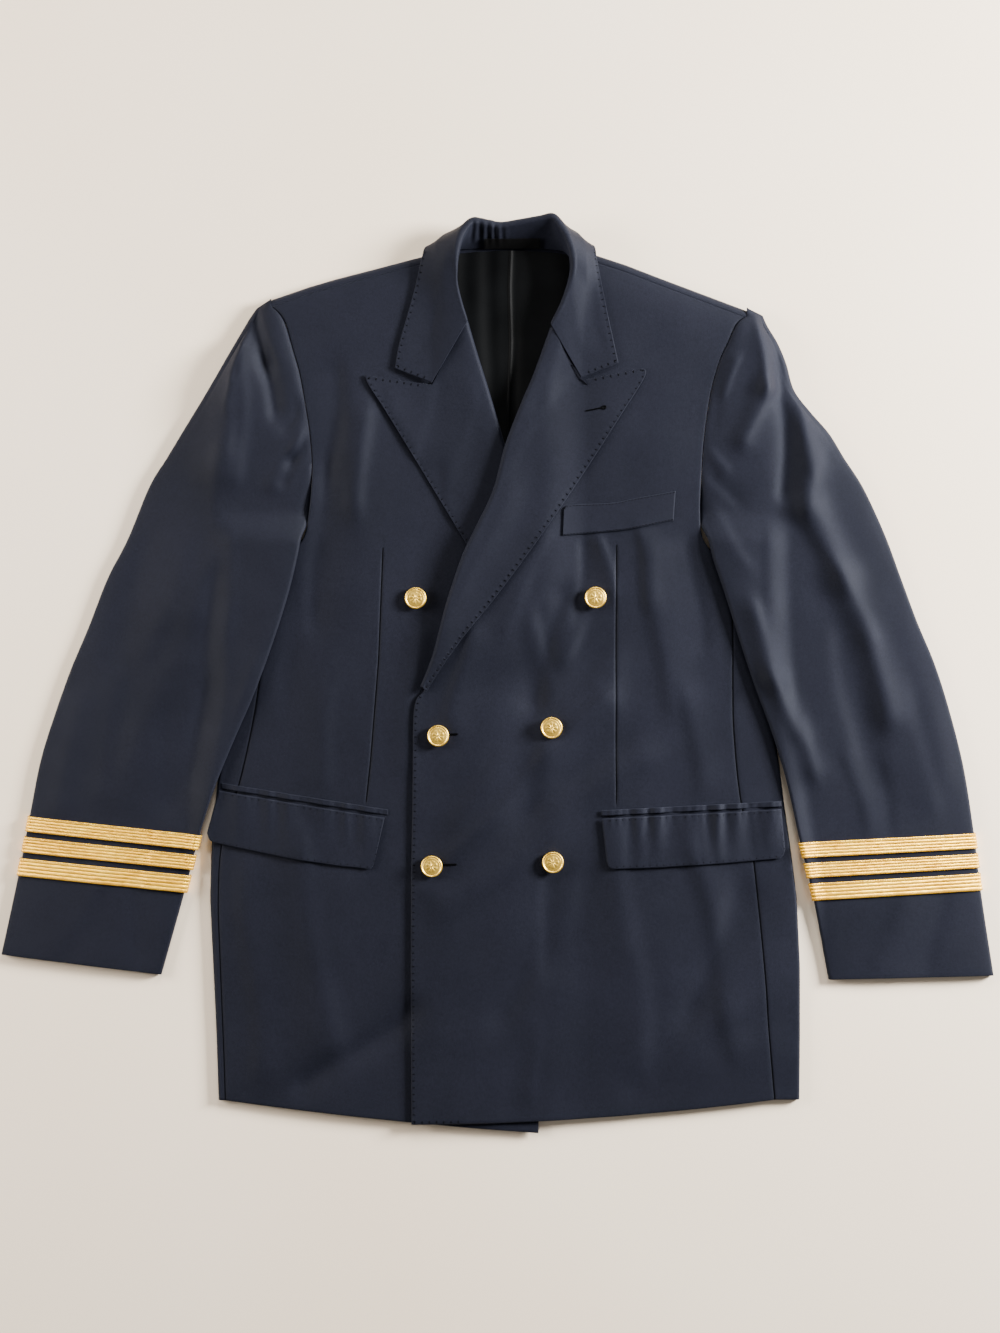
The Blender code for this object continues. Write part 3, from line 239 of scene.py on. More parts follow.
FRONT_LEFT = (
    FrontRow(-75.0, -24.5, 218.0, 3.0, 0.0),
    FrontRow(-78.0, -42.0, 218.0, -17.0, 0.0),
    FrontRow(-78.5, -78.0, 219.0, -55.0, -1.0),
    FrontRow(-79.0, -130.0, 225.0, -116.0, -2.0),
    FrontRow(-80.0, -185.0, 237.5, -176.0, -3.0),
    FrontRow(-80.4, -270.0, 247.5, -273.0, -4.0),
    FrontRow(-80.2, -345.0, 252.0, -337.0, -6.0),
    FrontRow(-79.8, -418.5, 257.0, -396.0, -5.5),
)

# Side seams of the back, straight from the underarm to the hem
BackSeam = namedtuple("BackSeam", "hem_x hem_y top_x top_y")
BACK_SEAM_RIGHT = BackSeam(-221.0, -396.0, -202.0, 110.0)
BACK_SEAM_LEFT = BackSeam(243.0, -396.0, 208.0, 110.0)

# Line of the shoulders and the back of the neck
ShoulderPoint = namedtuple("ShoulderPoint", "x y")
SHOULDER_LINE = (
    ShoulderPoint(-225, 338.0), ShoulderPoint(-212, 345.0), ShoulderPoint(-176, 357.4),
    ShoulderPoint(-152, 364.6), ShoulderPoint(-109, 375.7), ShoulderPoint(-70, 386.0),
    ShoulderPoint(-45, 387.0), ShoulderPoint(-24, 390.8), ShoulderPoint(11, 391.8),
    ShoulderPoint(36, 391.5), ShoulderPoint(62, 387.5), ShoulderPoint(89.7, 388.0),
    ShoulderPoint(120, 378.0), ShoulderPoint(151, 366.0),
    ShoulderPoint(232, 335.5), ShoulderPoint(245, 328.0),
)
ARMHOLE_BACK_RIGHT = ((-211.0, 340.3), (-196.5, 324.0), (-186.0, 301.0), (-179.0, 277.0),
                      (-173.0, 250.0), (-168.5, 220.0), (-167.5, 190.0), (-169.0, 150.0),
                      (-182.0, 122.0))
ARMHOLE_BACK_LEFT = ((232.4, 330.2), (219.0, 318.6), (209.0, 306.0), (201.0, 290.0), (194.0, 265.0),
                     (189.0, 240.0), (186.0, 211.0), (184.0, 180.0), (182.5, 150.0), (186.0, 118.0))

# Collar: neck seam, roll line, middle and outer edge of the fall, round the neck
CollarRow = namedtuple(
    "CollarRow",
    "seam_x seam_y seam_z roll_x roll_y roll_z mid_x mid_y mid_z edge_x edge_y edge_z rests",
)
COLLAR = (
    CollarRow(-31, 330.5, 11.0, -27.9, 327.2, 19.5, -60.9, 268.2, 15.0, -94.9, 281.8, 15.0, 1),
    CollarRow(-38, 345, 11.5, -33.5, 346, 21.5, -61.5, 300, 15.0, -91.0, 304.0, 15.0, 1),
    CollarRow(-43, 362, 12.0, -36.7, 361, 24.0, -60, 327, 17.0, -83.0, 332.0, 15.0, 1),
    CollarRow(-45, 374, 12.0, -36.5, 372.5, 27.0, -57, 352, 21.0, -76.0, 357.0, 16.0, 1),
    CollarRow(-46, 385, 11.0, -35.5, 385.5, 30.0, -55, 379, 25.0, -70.0, 384.0, 17.0, 1),
    CollarRow(-43, 390, 9.0, -33.0, 399, 30.5, -57, 397, 19.0, -65.5, 396.0, 8.0, 0),
    CollarRow(-36, 392.5, 7.0, -29.0, 410.5, 29.0, -44, 409, 9.0, -52.0, 395.0, 1.0, 0),
    CollarRow(-24, 393.5, 5.6, -22.0, 418.4, 26.0, -27, 408, 0.0, -32.0, 382.0, 0.0, 0),
    CollarRow(-8, 394, 5.2, -8.0, 416.8, 23.0, -9, 405, 0.0, -10.0, 378.0, 0.0, 0),
    CollarRow(4, 394, 5.2, 3.3, 415, 21.5, 4, 404, 0.0, 4.0, 377.0, 0.0, 0),
    CollarRow(20, 394, 5.2, 20.0, 417.3, 23.0, 20, 406, 0.0, 20.0, 377.0, 0.0, 0),
    CollarRow(36, 394, 5.6, 38.0, 420, 26.0, 39, 409, 0.0, 38.0, 379.0, 0.0, 0),
    CollarRow(51, 392.5, 7.0, 51.0, 421.4, 29.0, 57, 413, 3.0, 60.0, 388.0, 0.0, 0),
    CollarRow(61, 390.5, 8.5, 60.0, 409, 31.0, 72, 409, 12.0, 80.5, 395.0, 2.0, 0),
    CollarRow(66, 385.5, 10.5, 65.0, 396, 31.0, 80, 397.5, 20.0, 89.5, 396.0, 9.0, 0),
    CollarRow(69, 378, 11.5, 67.5, 382, 30.0, 82, 377, 25.0, 92.0, 382.0, 17.5, 1),
    CollarRow(69, 366, 11.5, 67.0, 368, 27.0, 82, 354, 21.0, 96.5, 358.0, 16.0, 1),
    CollarRow(65, 351, 11.5, 61.5, 350.0, 24.0, 80.5, 325, 17.0, 101.5, 333.0, 15.0, 1),
    CollarRow(59, 339, 11.0, 56.5, 338.0, 21.5, 79.5, 298, 15.0, 106.8, 309.0, 15.0, 1),
    CollarRow(53, 330, 10.5, 49.5, 324.2, 19.5, 77.6, 273.0, 15.0, 111.8, 286.5, 15.0, 1),
)

# Sleeves: outer and inner edges of each cross row, from the shoulder down to the cuff
SleeveRow = namedtuple("SleeveRow", "outer_x outer_y inner_x inner_y radius crown folded")
SLEEVE_RIGHT = (
    SleeveRow(-224.0, 337.5, -211.0, 346.0, 4.0, 0.5, 0.0),
    SleeveRow(-230.6, 327.8, -198.0, 325.5, 5.0, 4.0, 0.0),
    SleeveRow(-249.0, 296.7, -190.2, 299.5, 5.0, 6.0, 0.0),
    SleeveRow(-263.0, 272.5, -183.7, 276.5, 4.8, 6.4, 0.0),
    SleeveRow(-276.7, 249.2, -178.7, 249.5, 4.6, 6.4, 0.0),
    SleeveRow(-291.0, 226.0, -174.2, 219.5, 4.2, 6.0, 0.0),
    SleeveRow(-308.0, 198.0, -173.2, 188.0, 3.8, 5.4, 0.15),
    SleeveRow(-323.2, 173.0, -177.2, 153.5, 3.6, 4.6, 1.0),
    SleeveRow(-343.6, 123.7, -184.5, 110.0, 3.4, 4.0, 1.0),
    SleeveRow(-362.0, 88.0, -195.0, 68.0, 3.2, 3.6, 1.0),
    SleeveRow(-380.0, 42.0, -210.0, 22.0, 3.0, 3.2, 1.0),
    SleeveRow(-396.0, 4.0, -226.0, -21.0, 3.0, 3.0, 1.0),
    SleeveRow(-411.0, -38.0, -243.0, -60.0, 3.0, 2.8, 1.0),
    SleeveRow(-424.5, -82.0, -259.5, -100.0, 3.0, 2.6, 1.0),
    SleeveRow(-434.5, -133.0, -276.2, -150.2, 3.0, 2.2, 1.0),
    SleeveRow(-445.0, -188.0, -290.6, -203.7, 3.0, 2.0, 1.0),
    SleeveRow(-460.8, -261.3, -312.0, -280.0, 3.0, 1.8, 1.0),
)
SLEEVE_LEFT = (
    SleeveRow(246.5, 331.0, 232.5, 338.0, 4.0, 0.5, 0.0),
    SleeveRow(251.0, 321.0, 224.0, 323.4, 5.0, 4.0, 0.0),
    SleeveRow(260.0, 306.0, 214.2, 305.5, 5.0, 6.0, 0.0),
    SleeveRow(268.0, 287.0, 206.8, 289.5, 4.8, 6.4, 0.0),
    SleeveRow(275.5, 262.0, 199.3, 264.5, 4.6, 6.4, 0.0),
    SleeveRow(291.5, 241.0, 194.7, 239.5, 4.4, 6.2, 0.0),
    SleeveRow(308.0, 222.0, 191.2, 210.5, 4.2, 5.8, 0.0),
    SleeveRow(322.5, 198.5, 190.3, 178.0, 3.8, 5.2, 0.15),
    SleeveRow(339.5, 172.0, 191.3, 148.8, 3.6, 4.6, 1.0),
    SleeveRow(359.5, 129.0, 197.5, 112.0, 3.4, 4.2, 1.0),
    SleeveRow(374.0, 90.0, 210.0, 74.0, 3.2, 3.8, 1.0),
    SleeveRow(390.0, 47.0, 223.7, 30.7, 3.0, 3.4, 1.0),
    SleeveRow(406.0, 8.5, 238.0, -12.0, 3.0, 3.0, 1.0),
    SleeveRow(419.5, -34.0, 253.5, -54.0, 3.0, 2.8, 1.0),
    SleeveRow(433.0, -88.0, 267.5, -100.0, 3.0, 2.6, 1.0),
    SleeveRow(442.5, -148.8, 280.4, -157.2, 3.0, 2.2, 1.0),
    SleeveRow(448.8, -201.8, 293.4, -211.1, 3.0, 2.0, 1.0),
    SleeveRow(460.8, -280.9, 307.4, -284.6, 3.0, 1.8, 1.0),
)
BRAID_COUNT = 3
BRAID_WIDTH_SHARE = 0.27
BRAID_PITCH_SHARE = 0.365

# Hip pockets: corners of the jet and of the flap below it
FlapRow = namedtuple("FlapRow", "top_x top_y bottom_x bottom_y")
FLAP_RIGHT = (
    FlapRow(-258.5, -109.0, -269.5, -148.5),
    FlapRow(-255.5, -109.6, -264.5, -157.0),
    FlapRow(-190.0, -120.6, -193.0, -171.5),
    FlapRow(-150.0, -127.0, -151.0, -178.0),
    FlapRow(-112.0, -133.0, -121.0, -181.5),
    FlapRow(-104.5, -134.0, -114.0, -174.5),
)
FLAP_LEFT = (
    FlapRow(96.3, -135.0, 100.9, -174.8),
    FlapRow(102.0, -134.5, 109.5, -181.5),
    FlapRow(150.0, -132.2, 152.0, -180.0),
    FlapRow(205.0, -129.4, 206.0, -176.4),
    FlapRow(256.0, -126.5, 258.5, -172.2),
    FlapRow(263.5, -125.8, 266.8, -163.0),
)
JET_DEPTH = 5.2
JET_RIGHT = ((-256.0, -102.0), (-101.5, -126.6))
JET_LEFT = ((96.3, -127.2), (264.0, -118.6))
WELT_TOP = ((61.5, 152.0), (69.0, 155.8), (106.0, 157.4), (126.0, 161.3), (164.8, 168.3))
WELT_BOTTOM = ((60.5, 127.0), (68.0, 127.6), (107.0, 131.1), (124.0, 133.2), (162.9, 141.2))

# Centres of the buttons, and the cloth that each is sewn to
ButtonPlace = namedtuple("ButtonPlace", "name x y on air")
BUTTONS = (
    ButtonPlace("button_top_right", -75.8, 69.3, "right", 0.5),
    ButtonPlace("button_top_left", 90.7, 69.8, "left", 0.5),
    ButtonPlace("button_middle_right", -54.9, -58.1, "left", 0.5),
    ButtonPlace("button_middle_left", 50.0, -50.7, "left", 0.1),
    ButtonPlace("button_lower_right", -60.9, -178.8, "left", 0.9),
    ButtonPlace("button_lower_left", 51.2, -175.2, "left", 0.5),
)

LINING_X = (-51.0, 73.0)
LINING_Y = (196.0, 391.5)
LABEL_X = (-12.5, 39.5)
LABEL_HEIGHT = 11.0



# Creases too fine for the solids, read off the photograph in its pixels
PHOTO_CENTRE_X = 497.5
PHOTO_CENTRE_Y = 673.0
MM_A_PIXEL = 0.93
BODY_CREASE_SHARE = 3.3
BUTTON_CALM = 16.0
TROUGH_SHARE = 0.75
SLEEVE_CREASE_SHARE = 1.5
PhotoFold = namedtuple("PhotoFold", "px0 py0 px1 py1 height width")
BODY_CREASES = (
    PhotoFold(409, 1012, 308, 1081, -1.3, 9),
    PhotoFold(432, 880, 600, 700, 1.0, 10),
    PhotoFold(452, 905, 640, 760, 0.8, 12),
    PhotoFold(560, 600, 535, 700, -1.1, 10),
    PhotoFold(555, 870, 545, 960, -1.0, 10),
    PhotoFold(545, 960, 500, 1010, -0.8, 11),
    PhotoFold(740, 900, 690, 1010, -1.0, 14),
    PhotoFold(690, 1010, 640, 1080, -0.8, 12),
    PhotoFold(470, 640, 452, 720, 0.8, 9),
    PhotoFold(300, 850, 330, 1050, 0.8, 16),
    PhotoFold(250, 880, 262, 1060, 0.7, 13),
    PhotoFold(620, 880, 640, 1060, 0.7, 15),
    PhotoFold(700, 860, 735, 1040, 0.8, 12),
    PhotoFold(334, 380, 328, 475, -1.2, 12),
    PhotoFold(328, 475, 317, 620, -1.0, 12),
    PhotoFold(361, 425, 358, 500, 1.2, 12),
    PhotoFold(655, 560, 668, 700, 0.7, 12),
    PhotoFold(690, 545, 700, 640, -0.6, 9),
    PhotoFold(585, 548, 578, 610, -0.7, 6),
    PhotoFold(600, 545, 612, 590, 0.6, 6),
    PhotoFold(640, 540, 650, 600, 0.6, 7),
    PhotoFold(420, 640, 405, 760, 0.6, 10),
    PhotoFold(300, 620, 290, 700, -0.6, 12),
    PhotoFold(330, 700, 322, 775, 0.5, 10),
    PhotoFold(690, 700, 700, 780, 0.5, 10),
    PhotoFold(521, 643, 531, 792, -0.9, 14),
    PhotoFold(606, 670, 467, 813, 0.8, 15),
    PhotoFold(611, 745, 526, 814, -0.8, 12),
    PhotoFold(526, 814, 457, 867, -0.7, 12),
    PhotoFold(542, 543, 505, 622, 0.6, 10),
    PhotoFold(544, 617, 552, 670, -0.7, 8),
    PhotoFold(584, 617, 563, 654, 0.6, 8),
    PhotoFold(587, 881, 516, 1100, -0.7, 16),
    PhotoFold(531, 1030, 531, 1085, 0.6, 10),
    PhotoFold(760, 1015, 650, 1093, -0.6, 14),
)
SLEEVE_RIGHT_CREASES = (
    PhotoFold(249, 323, 242, 343, 0.9, 3),
    PhotoFold(242, 343, 232, 382, 0.9, 3),
    PhotoFold(232, 382, 228, 410, 0.7, 3),
    PhotoFold(240, 350, 225, 450, 1.3, 9),
    PhotoFold(225, 450, 212, 560, 1.0, 10),
    PhotoFold(258, 323, 266, 365, -2.4, 7),
    PhotoFold(266, 365, 274, 410, -2.0, 7),
    PhotoFold(300, 408, 287, 427, -1.6, 6),
    PhotoFold(308, 439, 293, 462, -2.0, 5),
    PhotoFold(293, 462, 287, 482, -1.6, 5),
    PhotoFold(311, 428, 296, 450, 1.4, 5),
    PhotoFold(243, 345, 239, 475, 1.2, 9),
    PhotoFold(290, 320, 300, 380, 0.9, 8),
    PhotoFold(180, 560, 150, 650, 0.8, 12),
    PhotoFold(240, 620, 205, 720, -0.9, 12),
    PhotoFold(210, 560, 190, 660, 0.8, 11),
    PhotoFold(262, 660, 236, 740, 0.8, 8),
    PhotoFold(120, 680, 95, 790, 0.8, 12),
    PhotoFold(170, 720, 160, 800, -0.7, 11),
    PhotoFold(100, 880, 60, 940, 0.6, 11),
    PhotoFold(130, 880, 140, 950, -0.5, 10),
)
SLEEVE_LEFT_CREASES = (
    PhotoFold(758, 332, 765, 388, 1.4, 7),
    PhotoFold(765, 388, 745, 437, 1.3, 7),
    PhotoFold(798, 388, 812, 464, 1.5, 9),
    PhotoFold(812, 464, 805, 509, 1.2, 9),
    PhotoFold(805, 509, 836, 569, 1.3, 9),
    PhotoFold(836, 569, 866, 637, 1.3, 9),
    PhotoFold(866, 637, 884, 709, 1.1, 9),
    PhotoFold(750, 610, 767, 675, 1.3, 8),
    PhotoFold(767, 675, 799, 732, 1.2, 8),
    PhotoFold(799, 732, 813, 770, 1.0, 8),
    PhotoFold(780, 357, 785, 491, -1.6, 8),
    PhotoFold(735, 365, 722, 392, 1.0, 5),
    PhotoFold(712, 395, 706, 425, -0.9, 5),
    PhotoFold(703, 450, 722, 470, 0.9, 5),
    PhotoFold(710, 480, 735, 500, -0.8, 6),
    PhotoFold(716, 520, 742, 560, 0.9, 7),
    PhotoFold(840, 640, 858, 740, -1.0, 11),
    PhotoFold(905, 700, 925, 800, 0.8, 12),
    PhotoFold(848, 760, 866, 822, 0.7, 7),
    PhotoFold(878, 770, 888, 825, -0.6, 7),
    PhotoFold(900, 905, 880, 960, 0.6, 11),
    PhotoFold(940, 900, 930, 960, -0.5, 9),
)
# Darts down the fronts, from the chest to the pocket
DartPoint = namedtuple("DartPoint", "px py")
DART_RIGHT = (DartPoint(384, 545), DartPoint(383, 560), DartPoint(379, 660),
              DartPoint(371, 760), DartPoint(366.4, 803))
DART_LEFT = (DartPoint(616.5, 542), DartPoint(616, 560), DartPoint(615.5, 660),
             DartPoint(615.8, 760), DartPoint(616, 805))
LINING_PLEAT = (DartPoint(511, 249), DartPoint(509.5, 289), DartPoint(511, 343), DartPoint(507.7, 437.5))
DART_DEPTH = 0.5
DART_WIDTH = 1.1
DART_RIDGE = 0.25
# Radius of the near-black lines laid along the darts and side seams: painted shade where the cloth dips into the
# seam.
SEAM_SHADE_RADIUS = 0.36

# Fine sizes of the sewing
SHELL = 1.2
PICK_PITCH = 6.2
PICK_INSET = 2.3
PICK_LENGTH = 2.7
PICK_RADIUS = 0.45
PICK_DIMPLE = 0.55
PICK_SPREAD = 1.5

LAPEL_CREASES = (
    PhotoFold(440, 392, 425, 445, -0.8, 8),
    PhotoFold(470, 395, 452, 470, 0.8, 10),
    PhotoFold(500, 420, 470, 490, 0.5, 10),
    PhotoFold(560, 330, 548, 400, 0.7, 9),
    PhotoFold(575, 385, 520, 460, -0.7, 10),
    PhotoFold(540, 440, 500, 520, 0.6, 12),
    PhotoFold(505, 500, 465, 590, 0.5, 9),
    PhotoFold(578, 386, 524, 404, -1.3, 12),
    PhotoFold(418, 470, 413, 505, -1.0, 9),
    PhotoFold(438, 475, 442, 500, -0.8, 7),
    PhotoFold(395, 400, 415, 440, 0.7, 9),
)
COLLAR_CREASES = (
    PhotoFold(446, 262, 438, 300, 0.7, 6),
    PhotoFold(436, 300, 425, 345, -0.6, 7),
    PhotoFold(570, 290, 585, 345, 0.6, 8),
    PhotoFold(590, 300, 600, 345, -0.4, 6),
)
FLAP_CREASES = (
    PhotoFold(655, 815, 640, 862, 0.8, 7),
    PhotoFold(690, 810, 700, 858, -0.7, 6),
    PhotoFold(715, 812, 722, 855, 0.8, 6),
    PhotoFold(745, 806, 752, 850, -0.7, 7),
    PhotoFold(770, 808, 768, 840, 0.6, 6),
    PhotoFold(625, 815, 618, 855, 0.6, 7),
    PhotoFold(240, 800, 236, 835, 0.5, 7),
    PhotoFold(290, 806, 300, 850, 0.5, 9),
    PhotoFold(345, 815, 350, 858, -0.4, 8),
)
BRAID_LINES = 41
BRAID_RIBS = 5
BRAID_RIB_HEIGHT = 0.42
BRAID_STITCH_PITCH = 2.3
BRAID_JOINT_PX = (154.6, 150.0, 145.4)
FLAP_CORNER = 8.0
BUTTON_TURN = 0.031

# The cut of a piece, in metres: across, along and its flat area
Cut = namedtuple("Cut", "name width length area rests_on")

# Soft light: a bright window side to the right and above, a weaker fill from the left
Light = namedtuple("Light", "name x y z wide high power colour")
LIGHTS = (
    Light("window", 1.85, 0.65, 0.80, 0.6, 0.6, 240.0, (1.0, 0.99, 0.96)),
    Light("overhead", 0.2, 2.6, 1.6, 0.9, 0.9, 60.0, (1.0, 0.975, 0.93)),
    Light("fill", -2.0, 0.5, 0.8, 1.0, 0.8, 84.0, (1.0, 0.945, 0.88)),
)
WORLD_STRENGTH = 0.26
CAMERA_X = 0.0023
CAMERA_Y = 0.0078
CAMERA_HEIGHT = 2.4
CAMERA_LENS = 69.7



def step(value, start, end):
    t = np.clip((value - start) / (end - start), 0.0, 1.0)
    return t * t * (3.0 - 2.0 * t)


def through(rows, at):
    """A smooth curve through table rows, read at row numbers that may be fractions."""
    rows = np.array(rows, float)
    at = np.clip(np.atleast_1d(np.asarray(at, float)), 0.0, len(rows) - 1.0)
    low = np.minimum(at.astype(int), len(rows) - 2)
    t = (at - low)[:, None]
    before = rows[np.maximum(low - 1, 0)]
    here = rows[low]
    after = rows[low + 1]
    beyond = rows[np.minimum(low + 2, len(rows) - 1)]
    return 0.5 * (
        2.0 * here
        + (after - before) * t
        + (2.0 * before - 5.0 * here + 4.0 * after - beyond) * t ** 2
        + (3.0 * here - before - 3.0 * after + beyond) * t ** 3
    )


def smooth_max(a, b, width):
    """The larger of two heights, rounded over where they meet."""
    return 0.5 * (a + b + np.sqrt((a - b) ** 2 + width ** 2) - 0.3 * width)


def edge_at(rows, y, column):
    ordered = sorted(rows, key=lambda row: row.y)
    return np.interp(y, [row.y for row in ordered], [getattr(row, column) for row in ordered])


def shoulder_y(x):
    return np.interp(x, [p.x for p in SHOULDER_LINE], [p.y for p in SHOULDER_LINE])


def fold_height(x, y, folds):
    total = np.zeros(np.broadcast(x, y).shape)
    for f in folds:
        run = np.array((f.x1 - f.x0, f.y1 - f.y0))
        length = np.hypot(*run)
        along = ((x - f.x0) * run[0] + (y - f.y0) * run[1]) / length
        across = ((x - f.x0) * run[1] - (y - f.y0) * run[0]) / length
        beyond = np.maximum(np.maximum(-along, along - length), 0.0)
        total = total + f.height * np.exp(-(across / f.width) ** 2 - (beyond / f.width) ** 2)
    return total


def loft_height(x, y):
    """The table of heights, read smoothly along the body and straight across it."""
    stations = [row.y for row in LOFT]
    at = np.interp(y, stations, range(len(stations)))
    flat = through([row[1:] for row in LOFT], np.ravel(at))
    place = np.interp(np.ravel(x), LOFT_X, range(len(LOFT_X)))
    low = np.minimum(place.astype(int), len(LOFT_X) - 2)
    t = step(place - low, 0.0, 1.0)
    rows = np.arange(len(flat))
    height = flat[rows, low] * (1.0 - t) + flat[rows, low + 1] * t
    return height.reshape(np.shape(x))


def body_top(x, y):
    """Upper face of the fronts before any overlap: the loft, eased down at the folded edges."""
    x, y = np.broadcast_arrays(np.asarray(x, float), np.asarray(y, float))
    height = loft_height(x, y)
    for side, rows in ((1.0, SIDE_RIGHT), (-1.0, SIDE_LEFT)):
        inside = side * (x - edge_at(rows, y, "edge_x")) - SIDE_EDGE_RADIUS
        ease = np.exp(-np.maximum(inside, 0.0) / 28.0) * step(y, UNDERARM_Y + 80.0, UNDERARM_Y)
        height = height + (2.0 * SIDE_EDGE_RADIUS - height) * ease
    inside = shoulder_y(x) - SHOULDER_EDGE_RADIUS - y
    ease = np.exp(-np.maximum(inside, 0.0) / 24.0)
    height = height + (2.0 * SHOULDER_EDGE_RADIUS - height) * ease
    calm = step(inside, 0.0, 40.0)
    creased = crease_height(x, y, BODY_CREASES)
    fine = BODY_CREASE_SHARE * np.where(creased > 0.0, creased, TROUGH_SHARE * creased) + 1.5 * ripple(x, y)
    for place in BUTTONS:
        fine = fine * (1.0 - np.exp(-((x - place.x) ** 2 + (y - place.y) ** 2) / BUTTON_CALM ** 2))
    return height + calm * (fold_height(x, y, BODY_FOLDS) + fine)


def right_top(x, y):
    return body_top(x, y)


def left_top(x, y):
    """The left front climbs over the right front, and over its lapel at the chest."""
    over = 1.0 - step(x, UNDERLAP_X + 4.0, UNDERLAP_X + 46.0)
    lapel = step(y, -20.0, 45.0) * (1.0 - step(y, 240.0, 300.0)) * (1.0 - step(x, 38.0, 84.0))
    hidden = WALL_LAPEL + LAY + LAPEL_ROLL_RISE
    return body_top(x, y) + (WALL_FRONT + OVERLAP) * over + hidden * lapel


def outer_top(x, y):
    """Upper face of whichever front lies on top at this place."""
    return np.where(np.asarray(x) > -20.0, left_top(x, y), right_top(x, y))


def back_lift(x, y):
    """The back neck is raised by the collar's fall, which lies under it."""
    near = 1.0 - step(np.abs(x - CENTRE_BACK_X), NECK_HALF_WIDTH - 13.0, NECK_HALF_WIDTH + 5.0)
    return NECK_LIFT * near * step(y, NECK_LIFT_FROM_Y, NECK_LIFT_TO_Y)


def sleeve_base(x, y, side):
    """What a sleeve lies on: the table, or the body's side below the underarm."""
    rows = SIDE_RIGHT if side < 0 else SIDE_LEFT
    inside = -side * (x - edge_at(rows, y, "edge_x"))
    over = step(inside, -26.0, -2.0) * step(y, UNDERARM_Y + 46.0, UNDERARM_Y + 14.0)
    return over * (body_top(x, y) + SLEEVE_AIR)


def plan_x(px):
    return (px - PHOTO_CENTRE_X) * MM_A_PIXEL


def plan_y(py):
    return (PHOTO_CENTRE_Y - py) * MM_A_PIXEL


def crease_height(x, y, creases):
    """Fine creases: each wavers along its line and is steeper on one side."""
    total = np.zeros(np.broadcast(x, y).shape)
    for number, c in enumerate(creases):
        x0, y0 = plan_x(c.px0), plan_y(c.py0)
        run = np.array((plan_x(c.px1) - x0, plan_y(c.py1) - y0))
        length = np.hypot(*run)
        along = ((x - x0) * run[0] + (y - y0) * run[1]) / length
        across = ((x - x0) * run[1] - (y - y0) * run[0]) / length
        across = across + 0.3 * c.width * np.sin(along / (2.4 * c.width) + number)
        lean = 1.0 + 0.35 * np.tanh(across / c.width) * (-1.0) ** number
        beyond = np.maximum(np.maximum(-along, along - length), 0.0)
        total = total + c.height * np.exp(-(across * lean / c.width) ** 2 - (beyond / (1.6 * c.width)) ** 2)
    return total


def ripple(x, y):
    """The slight unevenness of pressed cloth that lies loose."""
    waves = 0.20 * np.sin(x / 23.0 + 0.7 * np.sin(y / 61.0)) * np.sin(y / 47.0 + 0.9 * np.sin(x / 53.0))
    return waves + 0.10 * np.sin(x / 11.0 + y / 29.0) * np.sin(y / 17.0 - x / 37.0)


def dart_x(dart, y):
    ordered = sorted(dart, key=lambda p: -p.py)
    return np.interp(y, [plan_y(p.py) for p in ordered], [plan_x(p.px) for p in ordered])


def dart_height(x, y):
    total = np.zeros(np.broadcast(x, y).shape)
    for dart in (DART_RIGHT, DART_LEFT):
        top = plan_y(dart[0].py)
        foot = plan_y(dart[-1].py)
        within = step(y, top + 4.0, top - 22.0) * step(y, foot - 1.0, foot + 1.0)
        off = x - dart_x(dart, y)
        total = total + within * (DART_RIDGE * np.exp(-(off / 9.0) ** 2)
                                  - (DART_DEPTH + DART_RIDGE) * np.exp(-(off / DART_WIDTH) ** 2))
    return total


def grid_on(plan, height):
    """Plan points, rows by columns, set at a height worked out from their place."""
    return np.dstack((plan, height(plan[..., 0], plan[..., 1])))


def rows_between(first, last, count):
    """Straight rows of plan points from one edge to the other."""
    t = np.linspace(0.0, 1.0, count)[None, :, None]
    return first[:, None, :] * (1.0 - t) + last[:, None, :] * t


def lapel_rolls(table, marks):
    """For each mark down a lapel: its row, the centre of its roll, the direction square to it, the radius."""
    rows = through(table, marks)
    ahead = through(table, np.asarray(marks) + 0.1)
    behind = through(table, np.asarray(marks) - 0.1)
    found = []
    for row, near, far in zip(rows, behind, ahead):
        run = far[:2] - near[:2]
        across = np.array((-run[1], run[0])) / np.hypot(*run)
        if np.dot(across, row[4:6] - row[:2]) < 0.0:
            across = -across
        radius = WALL_LAPEL + 0.5 * LAY + 0.5 * LAPEL_ROLL_RISE * row[6]
        found.append((row, row[:2] + across * radius, across, radius))
    return found


def back_seam_x(y, seam):
    return np.interp(y, (seam.hem_y, seam.top_y), (seam.hem_x, seam.top_x))


def material_slots():
    """Every procedural finish, made once."""
    return {
        "cloth": wool_material("navy_wool", 0.0),
        "sleeve_left": wool_material("navy_wool_left_sleeve", 0.30),
        "sleeve_right": wool_material("navy_wool_right_sleeve", -0.30),
        "lapel": wool_material("navy_wool_lapel", 0.5),
        "lining": lining_material(),
        "braid": braid_material(),
        "button": button_material(),
        "label": label_material(),
        # The thread is near black: real stitching, made darker than the cloth so that the pick stitches also carry
        # painted shade of their dimples; the lines laid in it along the darts and side seams are only painted
        # shade.
        "thread": thread_material("navy_thread_and_painted_shade", (0.0006, 0.0007, 0.0010), 0.03),
        "gold_thread": thread_material("gold_thread", (0.26, 0.14, 0.025), 0.2),
        "floor": floor_material(),
    }


def add_nodes(name):
    made = bpy.data.materials.new(name)
    made.use_nodes = True
    tree = made.node_tree
    return made, tree, tree.nodes["Principled BSDF"]


def object_place(tree, turn=0.0, scale=(1.0, 1.0, 1.0)):
    """Object coordinates in metres, turned about Z so that a weave follows its piece."""
    place = tree.nodes.new("ShaderNodeTexCoord")
    mapping = tree.nodes.new("ShaderNodeMapping")
    mapping.inputs["Rotation"].default_value[2] = turn
    mapping.inputs["Scale"].default_value = scale
    tree.links.new(place.outputs["Object"], mapping.inputs["Vector"])
    return mapping.outputs["Vector"]


